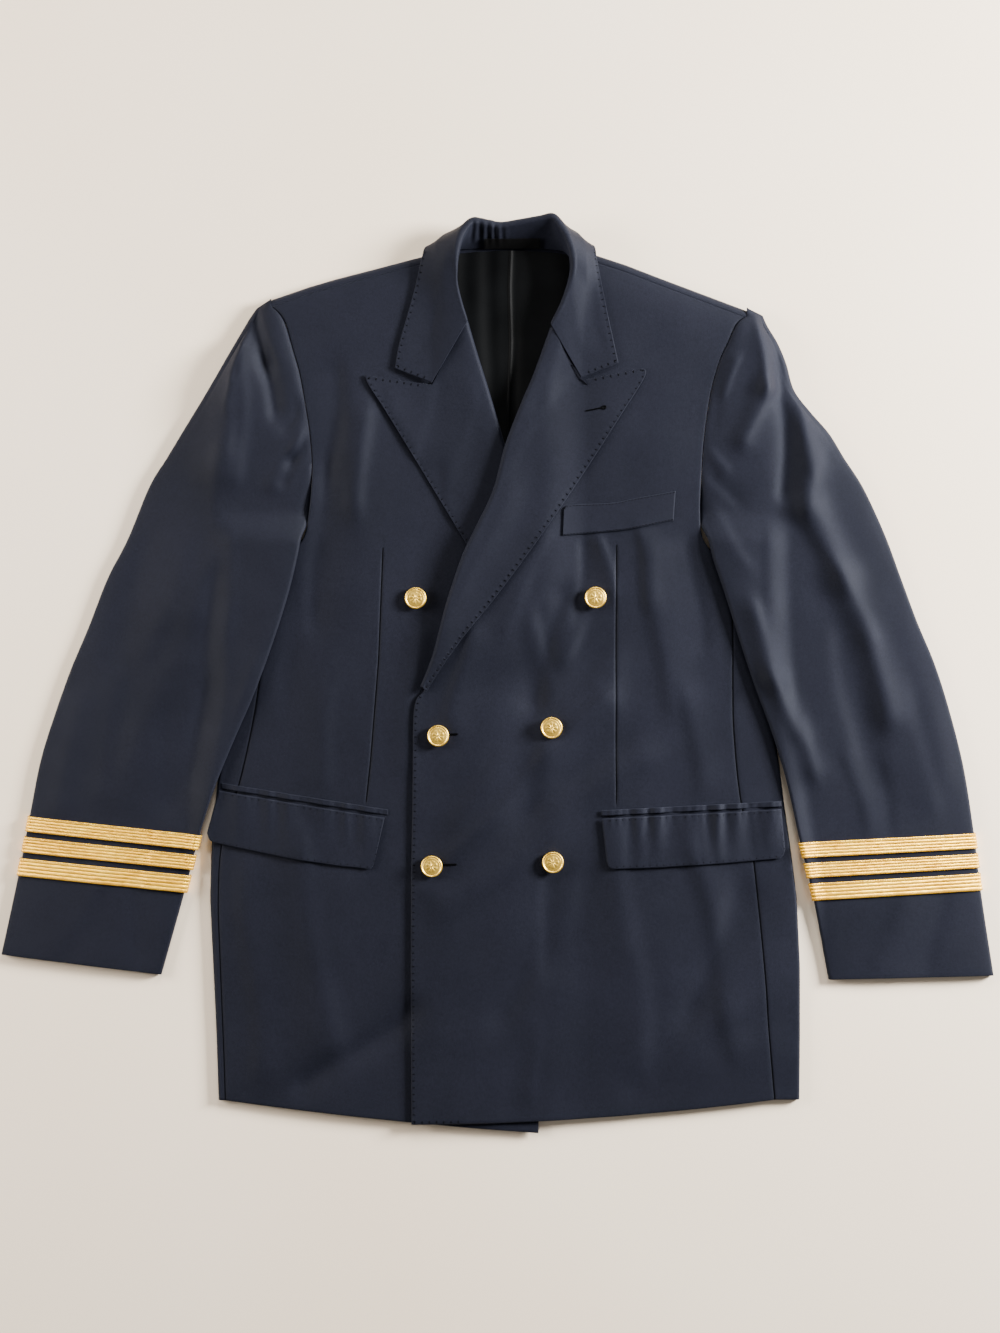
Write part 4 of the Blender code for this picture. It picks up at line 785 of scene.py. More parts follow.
def noise(tree, vector, scale, detail=2.0, roughness=0.5):
    node = tree.nodes.new("ShaderNodeTexNoise")
    node.inputs["Scale"].default_value = scale
    node.inputs["Detail"].default_value = detail
    node.inputs["Roughness"].default_value = roughness
    tree.links.new(vector, node.inputs["Vector"])
    return node.outputs["Fac"]


def wave(tree, vector, scale, direction, profile="SIN", distortion=0.0):
    node = tree.nodes.new("ShaderNodeTexWave")
    node.wave_type = "BANDS"
    node.bands_direction = direction
    node.wave_profile = profile
    node.inputs["Scale"].default_value = scale
    node.inputs["Distortion"].default_value = distortion
    node.inputs["Detail"].default_value = 1.0
    tree.links.new(vector, node.inputs["Vector"])
    return node.outputs["Fac"]


def ramp(tree, fac, *stops):
    """A colour ramp with a stop for each (position, colour)."""
    node = tree.nodes.new("ShaderNodeValToRGB")
    points = node.color_ramp.elements
    while len(points) < len(stops):
        points.new(0.5)
    for point, (position, colour) in zip(points, stops):
        point.position = position
        point.color = (*colour, 1.0)
    tree.links.new(fac, node.inputs["Fac"])
    return node.outputs["Color"]


def math(tree, operation, a, b):
    node = tree.nodes.new("ShaderNodeMath")
    node.operation = operation
    for socket, value in zip(node.inputs, (a, b)):
        if isinstance(value, (int, float)):
            socket.default_value = value
        else:
            tree.links.new(value, socket)
    return node.outputs[0]


def mix(tree, fac, a, b, blend="MIX"):
    node = tree.nodes.new("ShaderNodeMix")
    node.data_type = "RGBA"
    node.blend_type = blend
    for socket, value in ((node.inputs[0], fac), (node.inputs[6], a), (node.inputs[7], b)):
        if isinstance(value, (int, float)):
            socket.default_value = value
        elif isinstance(value, tuple):
            socket.default_value = (*value, 1.0)
        else:
            tree.links.new(value, socket)
    return node.outputs[2]


def bump(tree, shader, height, strength, distance):
    node = tree.nodes.new("ShaderNodeBump")
    node.inputs["Strength"].default_value = strength
    node.inputs["Distance"].default_value = distance
    tree.links.new(height, node.inputs["Height"])
    tree.links.new(node.outputs["Normal"], shader.inputs["Normal"])


def wool_material(name, turn):
    """Navy worsted twill: fine diagonal ribs, slightly uneven dye, a soft pressed sheen."""
    made, tree, shader = add_nodes(name)
    place = object_place(tree, turn)
    broad = noise(tree, place, 9.0, 3.0, 0.55)
    colour = ramp(tree, broad, (0.30, (0.0047, 0.0053, 0.0100)), (0.70, (0.0067, 0.0074, 0.0136)))
    warp = wave(tree, object_place(tree, turn + 1.05), 560.0, "X")
    fleck = noise(tree, place, 900.0, 2.0, 0.7)
    slub = noise(tree, place, 430.0, 3.0, 0.7)
    woven = math(tree, "ADD", math(tree, "MULTIPLY", warp, 0.35), math(tree, "MULTIPLY", fleck, 0.30))
    twill = math(tree, "ADD", woven, math(tree, "MULTIPLY", slub, 0.35))
    lit = ramp(tree, twill, (0.36, (0.40, 0.41, 0.46)), (0.66, (1.75, 1.72, 1.62)))
    tree.links.new(mix(tree, 1.0, colour, lit, "MULTIPLY"), shader.inputs["Base Color"])
    worn = noise(tree, place, 26.0, 3.0, 0.6)
    rough = tree.nodes.new("ShaderNodeMapRange")
    rough.inputs["From Min"].default_value = 0.3
    rough.inputs["From Max"].default_value = 0.7
    rough.inputs["To Min"].default_value = 0.54
    rough.inputs["To Max"].default_value = 0.62
    tree.links.new(worn, rough.inputs["Value"])
    tree.links.new(rough.outputs["Result"], shader.inputs["Roughness"])
    shader.inputs["Specular IOR Level"].default_value = 0.11
    shader.inputs["Specular Tint"].default_value = (0.82, 0.87, 1.0, 1.0)
    shader.inputs["Sheen Weight"].default_value = 0.06
    shader.inputs["Sheen Roughness"].default_value = 0.42
    shader.inputs["Sheen Tint"].default_value = (0.62, 0.70, 0.90, 1.0)
    bump(tree, shader, twill, 0.45, 0.0005)
    return made


def lining_material():
    made, tree, shader = add_nodes("black_lining")
    place = object_place(tree)
    broad = noise(tree, place, 22.0, 2.0)
    threads = wave(tree, place, 900.0, "X")
    colour = ramp(tree, broad, (0.3, (0.0016, 0.0018, 0.0022)), (0.7, (0.0034, 0.0038, 0.0044)))
    tree.links.new(colour, shader.inputs["Base Color"])
    shader.inputs["Roughness"].default_value = 0.50
    shader.inputs["Specular IOR Level"].default_value = 0.05
    bump(tree, shader, threads, 0.12, 0.0002)
    return made


def braid_material():
    """Gold metal thread, woven across the braid, with warmer tarnish in patches and painted highlights on single
    strands.
    """
    made, tree, shader = add_nodes("gold_braid")
    place = object_place(tree)
    patch = noise(tree, object_place(tree, 0.0, (1.0, 3.0, 1.0)), 42.0, 4.0, 0.65)
    strand = noise(tree, object_place(tree, 0.09, (0.25, 1.6, 1.0)), 620.0, 2.0, 0.6)
    base = ramp(tree, patch, (0.32, (0.94, 0.62, 0.055)), (0.55, (0.86, 0.50, 0.03)), (0.72, (0.60, 0.32, 0.015)))
    # The strand ramp is partly the strands' own tone and partly painted highlight: its bright end lightens and
    # whitens single strands.
    lit = ramp(tree, strand, (0.30, (0.66, 0.58, 0.42)), (0.70, (1.22, 1.14, 0.95)))
    tree.links.new(mix(tree, 1.0, base, lit, "MULTIPLY"), shader.inputs["Base Color"])
    shader.inputs["Metallic"].default_value = 0.65
    shader.inputs["Roughness"].default_value = 0.38
    picks = wave(tree, object_place(tree, 0.05), 420.0, "X", "SIN", 2.0)
    height = math(tree, "ADD", math(tree, "MULTIPLY", picks, 0.6), math(tree, "MULTIPLY", strand, 0.4))
    bump(tree, shader, height, 0.5, 0.0004)
    return made


def button_material():
    made, tree, shader = add_nodes("gilt_button")
    place = object_place(tree)
    age = noise(tree, place, 260.0, 3.0, 0.6)
    colour = ramp(tree, age, (0.30, (0.84, 0.52, 0.08)), (0.70, (0.96, 0.66, 0.13)))
    tree.links.new(colour, shader.inputs["Base Color"])
    shader.inputs["Metallic"].default_value = 1.0
    rough = tree.nodes.new("ShaderNodeMapRange")
    rough.inputs["To Min"].default_value = 0.36
    rough.inputs["To Max"].default_value = 0.48
    tree.links.new(age, rough.inputs["Value"])
    tree.links.new(rough.outputs["Result"], shader.inputs["Roughness"])
    bump(tree, shader, noise(tree, place, 1500.0), 0.05, 0.0002)
    return made


def label_material():
    made, tree, shader = add_nodes("black_label")
    place = object_place(tree)
    ribs = wave(tree, place, 700.0, "Y")
    colour = ramp(tree, ribs, (0.2, (0.0015, 0.0015, 0.0017)), (0.8, (0.004, 0.004, 0.0045)))
    tree.links.new(colour, shader.inputs["Base Color"])
    shader.inputs["Roughness"].default_value = 0.55
    shader.inputs["Specular IOR Level"].default_value = 0.10
    bump(tree, shader, ribs, 0.3, 0.0002)
    return made


def thread_material(name, tone, shine):
    made, tree, shader = add_nodes(name)
    place = object_place(tree)
    twist = wave(tree, place, 800.0, "DIAGONAL")
    light = tuple(min(1.0, 1.5 * c) for c in tone)
    tree.links.new(ramp(tree, twist, (0.2, tone), (0.8, light)), shader.inputs["Base Color"])
    shader.inputs["Roughness"].default_value = 0.6
    shader.inputs["Specular IOR Level"].default_value = shine
    bump(tree, shader, twist, 0.3, 0.0002)
    return made


def floor_material():
    made, tree, shader = add_nodes("pale_floor")
    place = object_place(tree)
    tone = noise(tree, place, 2.2, 2.0)
    tree.links.new(ramp(tree, tone, (0.3, (0.90, 0.75, 0.58)), (0.7, (0.93, 0.80, 0.65))),
                   shader.inputs["Base Color"])
    shader.inputs["Roughness"].default_value = 0.55
    return made


def metres(points):
    """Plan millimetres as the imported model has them: metres, centred, none below the table."""
    placed = np.asarray(points, float) + (0.0, CENTRING_Y, 0.0)
    placed[..., 2] = np.maximum(placed[..., 2], 0.0)
    return (placed * MM).tolist()


def add_piece(name, mesh, finish, nodes):
    obj = bpy.data.objects.new(name, mesh)
    bpy.context.scene.collection.objects.link(obj)
    mesh.materials.append(MATERIALS[finish])
    mesh.shade_smooth()
    mesh.set_sharp_from_angle(angle=1.0)
    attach(obj, "root")
    if nodes:
        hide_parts(*nodes)
    return obj


def grid_mesh(name, points, wall, flip, rolled=(0, 0, 0, 0)):
    """A closed thin shell from a grid of outer points. rolled names the sides whose edge is turned
    down: first row, last row, first column, last column."""
    points = rolled_edges(np.asarray(points, float), rolled, wall)
    rows, columns = points.shape[:2]
    normal = normals_of(points, -1.0 if flip else 1.0)
    inner = points - normal * wall
    count = rows * columns
    index = np.arange(count).reshape(rows, columns)
    a, b, c, d = index[:-1, :-1], index[:-1, 1:], index[1:, 1:], index[1:, :-1]
    front = np.stack((a, b, c, d), axis=-1).reshape(-1, 4)
    back = np.stack((a, d, c, b), axis=-1).reshape(-1, 4) + count
    if flip:
        front, back = front[:, ::-1], back[:, ::-1]
    loop = np.concatenate((index[0, :-1], index[:-1, -1], index[-1, :0:-1], index[:0:-1, 0]))
    after = np.roll(loop, -1)
    rim = np.stack((after, loop, loop + count, after + count), axis=-1)
    if flip:
        rim = rim[:, ::-1]
    faces = np.concatenate((front, back, rim))
    vertices = np.concatenate((points.reshape(-1, 3), inner.reshape(-1, 3)))
    mesh = bpy.data.meshes.new(name)
    mesh.from_pydata(metres(vertices), [], faces.tolist())
    mesh.update()
    return mesh


def rolled_edges(points, rolled, wall):
    """Adds a line of points just inside each turned edge and lowers the edge itself."""
    for side, drop in enumerate(rolled):
        if not drop:
            continue
        if side >= 2:
            points = points.transpose(1, 0, 2)
        if side % 2:
            points = points[::-1]
        edge, near = points[0], points[1]
        away = near - edge
        length = np.maximum(np.linalg.norm(away, axis=1, keepdims=True), 1e-6)
        unit = away / length
        inset = edge + unit * np.minimum(0.9 * wall, 0.45 * length)
        lowered = edge.copy()
        lowered[:, 2] -= drop * wall
        halfway = edge + unit * np.minimum(0.3 * wall, 0.15 * length)
        halfway[:, 2] -= 0.35 * drop * wall
        points = np.concatenate((lowered[None], halfway[None], inset[None], points[1:]))
        if side % 2:
            points = points[::-1]
        if side >= 2:
            points = points.transpose(1, 0, 2)
    return points


def normals_of(grid, side):
    down = np.gradient(grid, axis=0)
    over = np.gradient(grid, axis=1)
    normal = np.cross(over, down) * side
    return normal / np.maximum(np.linalg.norm(normal, axis=2, keepdims=True), 1e-9)


def cloth(name, points, finish, nodes, wall=SHELL, flip=False, rolled=(0, 0, 0, 0)):
    return add_piece(name, grid_mesh(name, points, wall, flip, rolled), finish, nodes)


def with_dart(fine, dart, inside, outside):
    """Rows of a front with its columns drawn together where the dart runs."""
    close = np.array((-3.0, -1.9, -1.1, -0.5, 0.0, 0.5, 1.1, 1.9, 3.0))
    plan = []
    for x0, y0, x1, y1, sag in fine:
        y = 0.5 * (y0 + y1)
        for _ in range(3):
            x = float(dart_x(dart, y))
            y = y0 + (y1 - y0) * (x - x0) / (x1 - x0)
        way = np.sign(x1 - x0)
        xs = np.concatenate((np.linspace(x0, x - 6.0 * way, inside), x + close * way,
                             np.linspace(x + 6.0 * way, x1, outside)))
        t = (xs - x0) / (x1 - x0)
        ys = y0 + (y1 - y0) * t + sag * (1.0 - (2.0 * t - 1.0) ** 2)
        plan.append(np.column_stack((xs, ys)))
    return np.array(plan)


def front_plan(neck, lapel, armhole, lower, count, dart, inside, outside):
    """Rows of a front from the shoulder seam to the hem, inner edge first."""
    rows = list(neck)
    marks = np.linspace(0.0, len(lapel) - 1.0, len(armhole))
    for (row, centre, across, _), outer in zip(lapel_rolls(lapel, marks), armhole):
        inner = centre + across * (LAPEL_TUCK * row[7] + 1.6)
        rows.append(FrontRow(inner[0], inner[1], outer[0], outer[1], 0.0))
    rows += list(lower)
    fine = through(rows, np.linspace(0.0, len(rows) - 1.0, count))
    plan = with_dart(fine, dart, inside, outside)
    top = shoulder_y(plan[0, :, 0]) - SHOULDER_EDGE_RADIUS - SHOULDER_TURN - SEAM
    shift = top - plan[0, :, 1]
    for number in range(12):
        plan[number, :, 1] += shift * (1.0 - number / 12.0) ** 2
    return plan


def front_height(height):
    def at(x, y):
        return height(x, y) + dart_height(x, y)
    return at


def make_fronts():
    right = front_plan(NECK_RIGHT, LAPEL_RIGHT, ARMHOLE_RIGHT, FRONT_RIGHT, 206, DART_RIGHT, 42, 32)
    cloth("front_right_cloth", grid_on(right, front_height(right_top)), "cloth", ["front_right"],
          rolled=(0.3, 0.5, 0.3, 0.6))
    left = front_plan(NECK_LEFT, LAPEL_LEFT, ARMHOLE_LEFT, FRONT_LEFT, 206, DART_LEFT, 48, 32)
    points = grid_on(left, front_height(left_top))
    cloth("front_left_cloth", points, "cloth", ["front_left"], flip=True,
          rolled=(0.3, 0.5, 0.5, 0.6))
    break_row = int(np.argmax(points[:, 0, 1] < -20.0))
    edge = inset_line(points[break_row:], first=True, inset=PICK_INSET)
    pick_stitches("front_edge_stitches", [edge, hem_line(points)])
    # Near-black lines along the darts: painted shade in the dart grooves.
    for name, dart, height in (("right", DART_RIGHT, right_top), ("left", DART_LEFT, left_top)):
        y = np.linspace(plan_y(dart[0].py) - 3.0, plan_y(dart[-1].py) + 1.0, 120)
        x = dart_x(dart, y)
        z = height(x, y) + dart_height(x, y) + 0.1
        tube(f"dart_seam_{name}", np.column_stack((x, y, z)), SEAM_SHADE_RADIUS, "thread")
    return right, left


def hem_line(points):
    """Stitches turn the front's lower corner and follow the hem a little way."""
    hem = inset_line(points.transpose(1, 0, 2), first=False, inset=PICK_INSET)
    return hem[hem[:, 0] < -30.0]


def inset_line(grid, first, inset):
    """A line on the grid, that far inside its first or last column."""
    line = []
    for row in grid:
        row = row if first else row[::-1]
        gone = np.concatenate(((0.0,), np.cumsum(np.linalg.norm(np.diff(row, axis=0), axis=1))))
        line.append([np.interp(inset, gone, row[:, axis]) for axis in range(3)])
    return np.array(line)


def resampled(path, pitch):
    """Points an even way apart along a path, and the directions there."""
    gone = np.concatenate(((0.0,), np.cumsum(np.linalg.norm(np.diff(path, axis=0), axis=1))))
    count = max(int(gone[-1] / pitch), 1)
    at = (np.arange(count) + 0.5) * gone[-1] / count
    points = np.column_stack([np.interp(at, gone, path[:, axis]) for axis in range(3)])
    ahead = np.column_stack([np.interp(at + 1.0, gone, path[:, axis]) for axis in range(3)])
    behind = np.column_stack([np.interp(at - 1.0, gone, path[:, axis]) for axis in range(3)])
    run = ahead - behind
    return points, run / np.maximum(np.linalg.norm(run, axis=1, keepdims=True), 1e-6)


def beads(name, centres, runs, ups, length, radius, finish, sides=6, rings=4):
    """Small rounded lengths of thread, each set along its own direction."""
    vertices = [(-0.5 * length, 0.0, 0.0)]
    for ring in range(1, rings):
        angle = pi * ring / rings
        for side in range(sides):
            turn = 2.0 * pi * side / sides
            vertices.append((-0.5 * length * cos(angle), radius * sin(angle) * cos(turn),
                             radius * sin(angle) * sin(turn)))
    vertices.append((0.5 * length, 0.0, 0.0))
    template = np.array(vertices)
    faces = [(0, 1 + (s + 1) % sides, 1 + s) for s in range(sides)]
    for ring in range(rings - 2):
        base = 1 + ring * sides
        for s in range(sides):
            t = (s + 1) % sides
            faces.append((base + s, base + t, base + sides + t, base + sides + s))
    last = len(vertices) - 1
    base = last - sides
    faces += [(base + s, base + (s + 1) % sides, last) for s in range(sides)]
    side_way = np.cross(ups, runs)
    side_way /= np.maximum(np.linalg.norm(side_way, axis=1, keepdims=True), 1e-6)
    upward = np.cross(runs, side_way)
    placed = (centres[:, None, :] + template[None, :, 0:1] * runs[:, None, :]
              + template[None, :, 1:2] * side_way[:, None, :] + template[None, :, 2:3] * upward[:, None, :])
    everything = []
    for number in range(len(centres)):
        everything += [tuple(i + number * len(vertices) for i in face) for face in faces]
    mesh = bpy.data.meshes.new(name)
    mesh.from_pydata(metres(placed.reshape(-1, 3)), [], everything)
    mesh.update()
    return add_piece(name, mesh, finish, ())


def dimpled(grid, side):
    """Draws the cloth in at each stitch along its last column."""
    gone = np.linalg.norm(np.diff(grid[:, ::-1], axis=1), axis=2)
    inside = np.concatenate((np.zeros((len(grid), 1)), np.cumsum(gone, axis=1)), axis=1)[:, ::-1]
    edge = grid[:, -1]
    along = np.concatenate(((0.0,), np.cumsum(np.linalg.norm(np.diff(edge, axis=0), axis=1))))
    count = max(int(along[-1] / PICK_PITCH), 1)
    beat = np.cos(2.0 * pi * (along / along[-1] * count - 0.5))
    deep = PICK_DIMPLE * (0.5 + 0.5 * beat)[:, None] ** 2 * np.exp(-((inside - PICK_INSET) / PICK_SPREAD) ** 2)
    return grid - normals_of(grid, side) * deep[..., None]


def pick_stitches(name, paths, pitch=PICK_PITCH, length=PICK_LENGTH, radius=PICK_RADIUS, across=True):
    """Stitches along each path, set across it where they bite over an edge."""
    centres, runs = [], []
    for path in paths:
        points, run = resampled(path, pitch)
        centres.append(points)
        runs.append(np.cross(run, (0.0, 0.0, 1.0)) if across else run)
    centres = np.concatenate(centres)
    runs = np.concatenate(runs)
    ups = np.tile((0.0, 0.0, 1.0), (len(centres), 1))
    beads(name, centres, runs, ups, length, radius, "thread")


def lapel_points(table, sections, height, arc_steps=8, face_steps=18):
    """A lapel: a short tuck in line with its front, the roll, then the revers lying on the front."""
    grid = []
    for row, centre, across, radius in lapel_rolls(table, np.linspace(0.0, len(table) - 1.0, sections)):
        base = float(height(centre[0], centre[1]))
        low = base - WALL_FRONT
        tuck_end = centre + across * (LAPEL_TUCK * row[7] + 0.6)
        points = [(*tuck_end, float(height(*tuck_end)) - WALL_FRONT)]
        for k in range(arc_steps + 1):
            angle = -pi / 2.0 + pi * k / arc_steps
            out = centre - across * radius * cos(angle)
            points.append((*out, low + radius + radius * sin(angle)))
        middle = np.array(row[2:4])
        edge = np.array(row[4:6])
        t = np.linspace(0.0, 1.0, face_steps + 1)[1:, None]
        fine = 1.0 - (1.0 - t) ** 1.35
        face = np.concatenate((centre + (middle - centre) * t, middle + (edge - middle) * fine))
        gone = np.hypot(*(face - centre).T)
        rise = (2.0 * radius - WALL_FRONT - WALL_LAPEL - LAY) * np.exp(-(gone / 22.0) ** 2)
        belly = crease_height(face[:, 0], face[:, 1], LAPEL_CREASES)
        z = height(face[:, 0], face[:, 1]) + WALL_LAPEL + LAY + rise + belly * step(gone, 0.0, 14.0)
        points += [tuple(p) for p in np.column_stack((face, z))]
        grid.append(points)
    return np.array(grid)


def make_lapels():
    right = dimpled(lapel_points(LAPEL_RIGHT, 190, right_top), 1.0)
    cloth("lapel_right_cloth", right, "lapel", ["lapel_right"], wall=1.5,
          rolled=(0.9, 0.4, 0.3, 0.6))
    left = dimpled(lapel_points(LAPEL_LEFT, 230, left_top), -1.0)
    cloth("lapel_left_cloth", left, "lapel", ["lapel_left"], wall=1.5, flip=True,
          rolled=(0.6, 0.4, 0.3, 0.6))
    paths = []
    for grid in (right, left):
        paths.append(inset_line(grid, first=False, inset=PICK_INSET))
        top = inset_line(grid.transpose(1, 0, 2), first=True, inset=PICK_INSET)
        paths.append(top[-17:])
    pick_stitches("lapel_stitches", paths)
    return left


def side_points(rows, side, front_edge, back_seam):
    """A side panel: from the front seam over the folded edge and under to the back seam."""
    grid = []
    for seam, y in front_edge:
        seam = seam + side * SEAM
        edge = float(edge_at(rows, y, "edge_x"))
        arc = edge - side * SIDE_EDGE_RADIUS
        xs = np.linspace(seam, arc, 9)[:-1]
        points = [(x, y, z) for x, z in zip(xs, body_top(xs, np.full(8, y)))]
        for k in range(9):
            angle = pi / 2.0 - pi * k / 8
            reach = arc + side * SIDE_EDGE_RADIUS * cos(angle)
            points.append((reach, y, SIDE_EDGE_RADIUS + SIDE_EDGE_RADIUS * sin(angle)))
        for x in np.linspace(arc, back_seam_x(y, back_seam), 8)[1:]:
            points.append((x, y, 0.0))
        grid.append(points)
    return np.array(grid)


def make_sides(right_front, left_front):
    for name, rows, side, plan, seam in (
        ("right", SIDE_RIGHT, -1.0, right_front, BACK_SEAM_RIGHT),
        ("left", SIDE_LEFT, 1.0, left_front, BACK_SEAM_LEFT),
    ):
        edge = plan[:, -1]
        points = side_points(rows, side, edge[edge[:, 1] <= UNDERARM_Y], seam)
        cloth(f"side_{name}_cloth", points, "cloth", [f"side_{name}"], flip=side > 0,
              rolled=(0, 0.5, 0.6, 0))
        # A near-black line along the front seam of each side panel: painted shade in the seam.
        seam_shade_line = points[:, 0] - (side * 0.5 * SEAM, 0.0, 0.25)
        tube(f"side_seam_{name}", seam_shade_line, SEAM_SHADE_RADIUS, "thread")


def back_crease(x, y):
    """The back is pressed flat by its weight, and only a few shallow creases lift off the table."""
    lift = 0.7 * np.exp(-((x + 0.25 * y + 60.0) / 8.0) ** 2) * step(y, -330.0, -240.0) * step(y, 120.0, 20.0)
    lift = lift + 0.6 * np.exp(-((x - 0.18 * y - 90.0) / 7.0) ** 2) * step(y, -300.0, -200.0) * step(y, 160.0, 60.0)
    seam = 0.5 * np.exp(-((x - CENTRE_BACK_X) / 1.5) ** 2)
    return lift + seam


def back_points(side, seam, armhole, columns, rows):
    """A back panel, flat on the table, turned up over the shoulder to its seam."""
    seams = [(seam.hem_x - side * SEAM, seam.hem_y), (seam.top_x - side * SEAM, seam.top_y)]
    outline = sorted([*armhole, *seams], key=lambda point: point[1])
    outline_y = [point[1] for point in outline]
    outline_x = [point[0] for point in outline]
    across = np.linspace(0.0, 1.0, columns)
    inner = CENTRE_BACK_X + side * SEAM * 0.5
    grid = []
    for v in np.linspace(0.0, 1.0, rows):
        x = np.full(columns, inner)
        for _ in range(6):
            y = BACK_HEM_Y + (shoulder_y(x) - SHOULDER_EDGE_RADIUS - BACK_HEM_Y) * v
            x = inner + (np.interp(y, outline_y, outline_x) - inner) * across
        grid.append(np.column_stack((x, y, np.maximum(back_lift(x, y), back_crease(x, y)))))
    x, y, z = grid[-1].T
    turned = step(np.abs(x - CENTRE_BACK_X), NECK_HALF_WIDTH - 17.0, NECK_HALF_WIDTH)
    radius = SHOULDER_EDGE_RADIUS
    arc_steps = 8
    for k in range(1, arc_steps + 2):
        angle = -pi / 2.0 + pi * min(k, arc_steps) / arc_steps
        curled = radius * cos(angle) - (SHOULDER_TURN if k > arc_steps else 0.0)
        flat = 0.65 * k
        up = radius + radius * sin(angle)
        grid.append(np.column_stack((x, y + curled * turned + flat * (1.0 - turned), z + up * turned)))
    return np.array(grid)


def make_backs():
    right = back_points(-1.0, BACK_SEAM_RIGHT, ARMHOLE_BACK_RIGHT, 64, 110)
    cloth("back_right_cloth", right, "cloth", ["back_right"])
    left = back_points(1.0, BACK_SEAM_LEFT, ARMHOLE_BACK_LEFT, 64, 110)
    cloth("back_left_cloth", left, "cloth", ["back_left"], flip=True)


def lining_top(x, y):
    """The lining lies on the back with soft upright folds and a pleat down its middle."""
    wander = 2.0 * np.sin(y / 46.0)
    folds = 0.5 * np.sin((x + wander) / 3.6) * step(x, 10.0, -6.0) + 0.35 * np.sin(x / 8.0 + y / 60.0)
    off = x - dart_x(LINING_PLEAT, y)
    pleat = 1.1 * np.exp(-(off / 1.2) ** 2)
    fallen = -0.9 * np.exp(-((off - 5.0) / 4.0) ** 2)
    return back_lift(x, y) + WALL_BACK + PRESSED + WALL_LINING + 1.2 + folds + pleat + fallen


def make_lining():
    xs = np.linspace(LINING_X[0], LINING_X[1], 150)
    top = LINING_Y[1] - 5.0 * ((xs - CENTRE_BACK_X) / 62.0) ** 2
    plan = np.array([np.column_stack((xs, top + (LINING_Y[0] - top) * t)) for t in np.linspace(0.0, 1.0, 70)])
    cloth("lining_cloth", grid_on(plan, lining_top), "lining", ["lining_back"], wall=0.5, flip=True)


def collar_profile(row, stand_steps=12, arc_steps=10, fall_steps=12):
    """One section of the collar: up the stand, round the roll and down the fall."""
    seam = row[0:3]
    roll = row[3:6]
    middle = row[6:9]
    edge = row[9:12]
    reach = roll - 0.5 * (seam + middle)
    reach = reach / np.linalg.norm(reach)
    spread = (seam - middle) - np.dot(seam - middle, reach) * reach
    spread = spread / np.linalg.norm(spread)
    centre = roll - reach * COLLAR_ROLL_RADIUS
    first = centre + COLLAR_ROLL_RADIUS * spread
    points = [seam + (first - seam) * k / stand_steps for k in range(stand_steps)]
    for k in range(arc_steps + 1):
        angle = pi / 2.0 - pi * k / arc_steps
        points.append(centre + COLLAR_ROLL_RADIUS * (cos(angle) * reach + sin(angle) * spread))
    last = points[-1]
    for start, end, power in ((last, middle, 1.0), (middle, edge, 1.35)):
        for k in range(1, fall_steps + 1):
            points.append(start + (end - start) * (1.0 - (1.0 - k / fall_steps) ** power))
    return np.array(points), stand_steps + arc_steps


def collar_points(sections):
    grid = []
    for row in through(COLLAR, np.linspace(0.0, len(COLLAR) - 1.0, sections)):
        row = row.copy()
        row[8] = max(row[8], 0.0)
        row[11] = max(row[11], 0.0)
        points, fall_start = collar_profile(row)
        fall = points[fall_start:]
        rest = outer_top(fall[:, 0], fall[:, 1]) + LAY + WALL_COLLAR
        lies = step(row[12], 0.3, 0.9)
        lifted = smooth_max(fall[:, 2], rest, 2.4)
        dent = crease_height(fall[:, 0], fall[:, 1], COLLAR_CREASES) * step(row[12], 0.2, 0.8)
        fall[:, 2] = np.maximum(fall[:, 2] * (1.0 - lies) + lifted * lies + dent, 1.6)
        grid.append(points)
    grid = np.array(grid)
    return puckered(grid)


def puckered(grid):
    """Short puckers where the back of the collar is pushed together, over its stand and roll."""
    normal = normals_of(grid, -1.0)
    x = grid[:, :1, 0]
    share = np.linspace(0.0, 1.0, grid.shape[1])[None, :]
    wave_in = 0.55 * np.sin(x / 1.30 + 1.1 * np.sin(x / 9.0)) * step(x, -32.0, -22.0) * step(x, 14.0, 2.0)
    lasting = step(share, 0.02, 0.14) * (0.15 + 0.85 * step(share, 0.36, 0.26)) * step(share, 0.56, 0.40)
    behind = grid[:, :1, 1] > 380.0
    return grid + normal * (wave_in * lasting * behind)[..., None]


def make_collar():
    points = dimpled(collar_points(260), -1.0)
    cloth("collar_cloth", points, "lapel", ["collar"], wall=1.6, flip=True, rolled=(0.9, 0.5, 0, 0.6))
    edge = inset_line(points, first=False, inset=PICK_INSET)
    right_end = inset_line(points.transpose(1, 0, 2), first=True, inset=PICK_INSET)[-12:]
    left_end = inset_line(points.transpose(1, 0, 2), first=False, inset=PICK_INSET)[-12:]
    shown = edge[(edge[:, 2] > 14.0)]
    halves = [shown[shown[:, 0] < 0.0], shown[shown[:, 0] > 0.0]]
    pick_stitches("collar_stitches", [*halves, right_end, left_end])
    make_label(points)


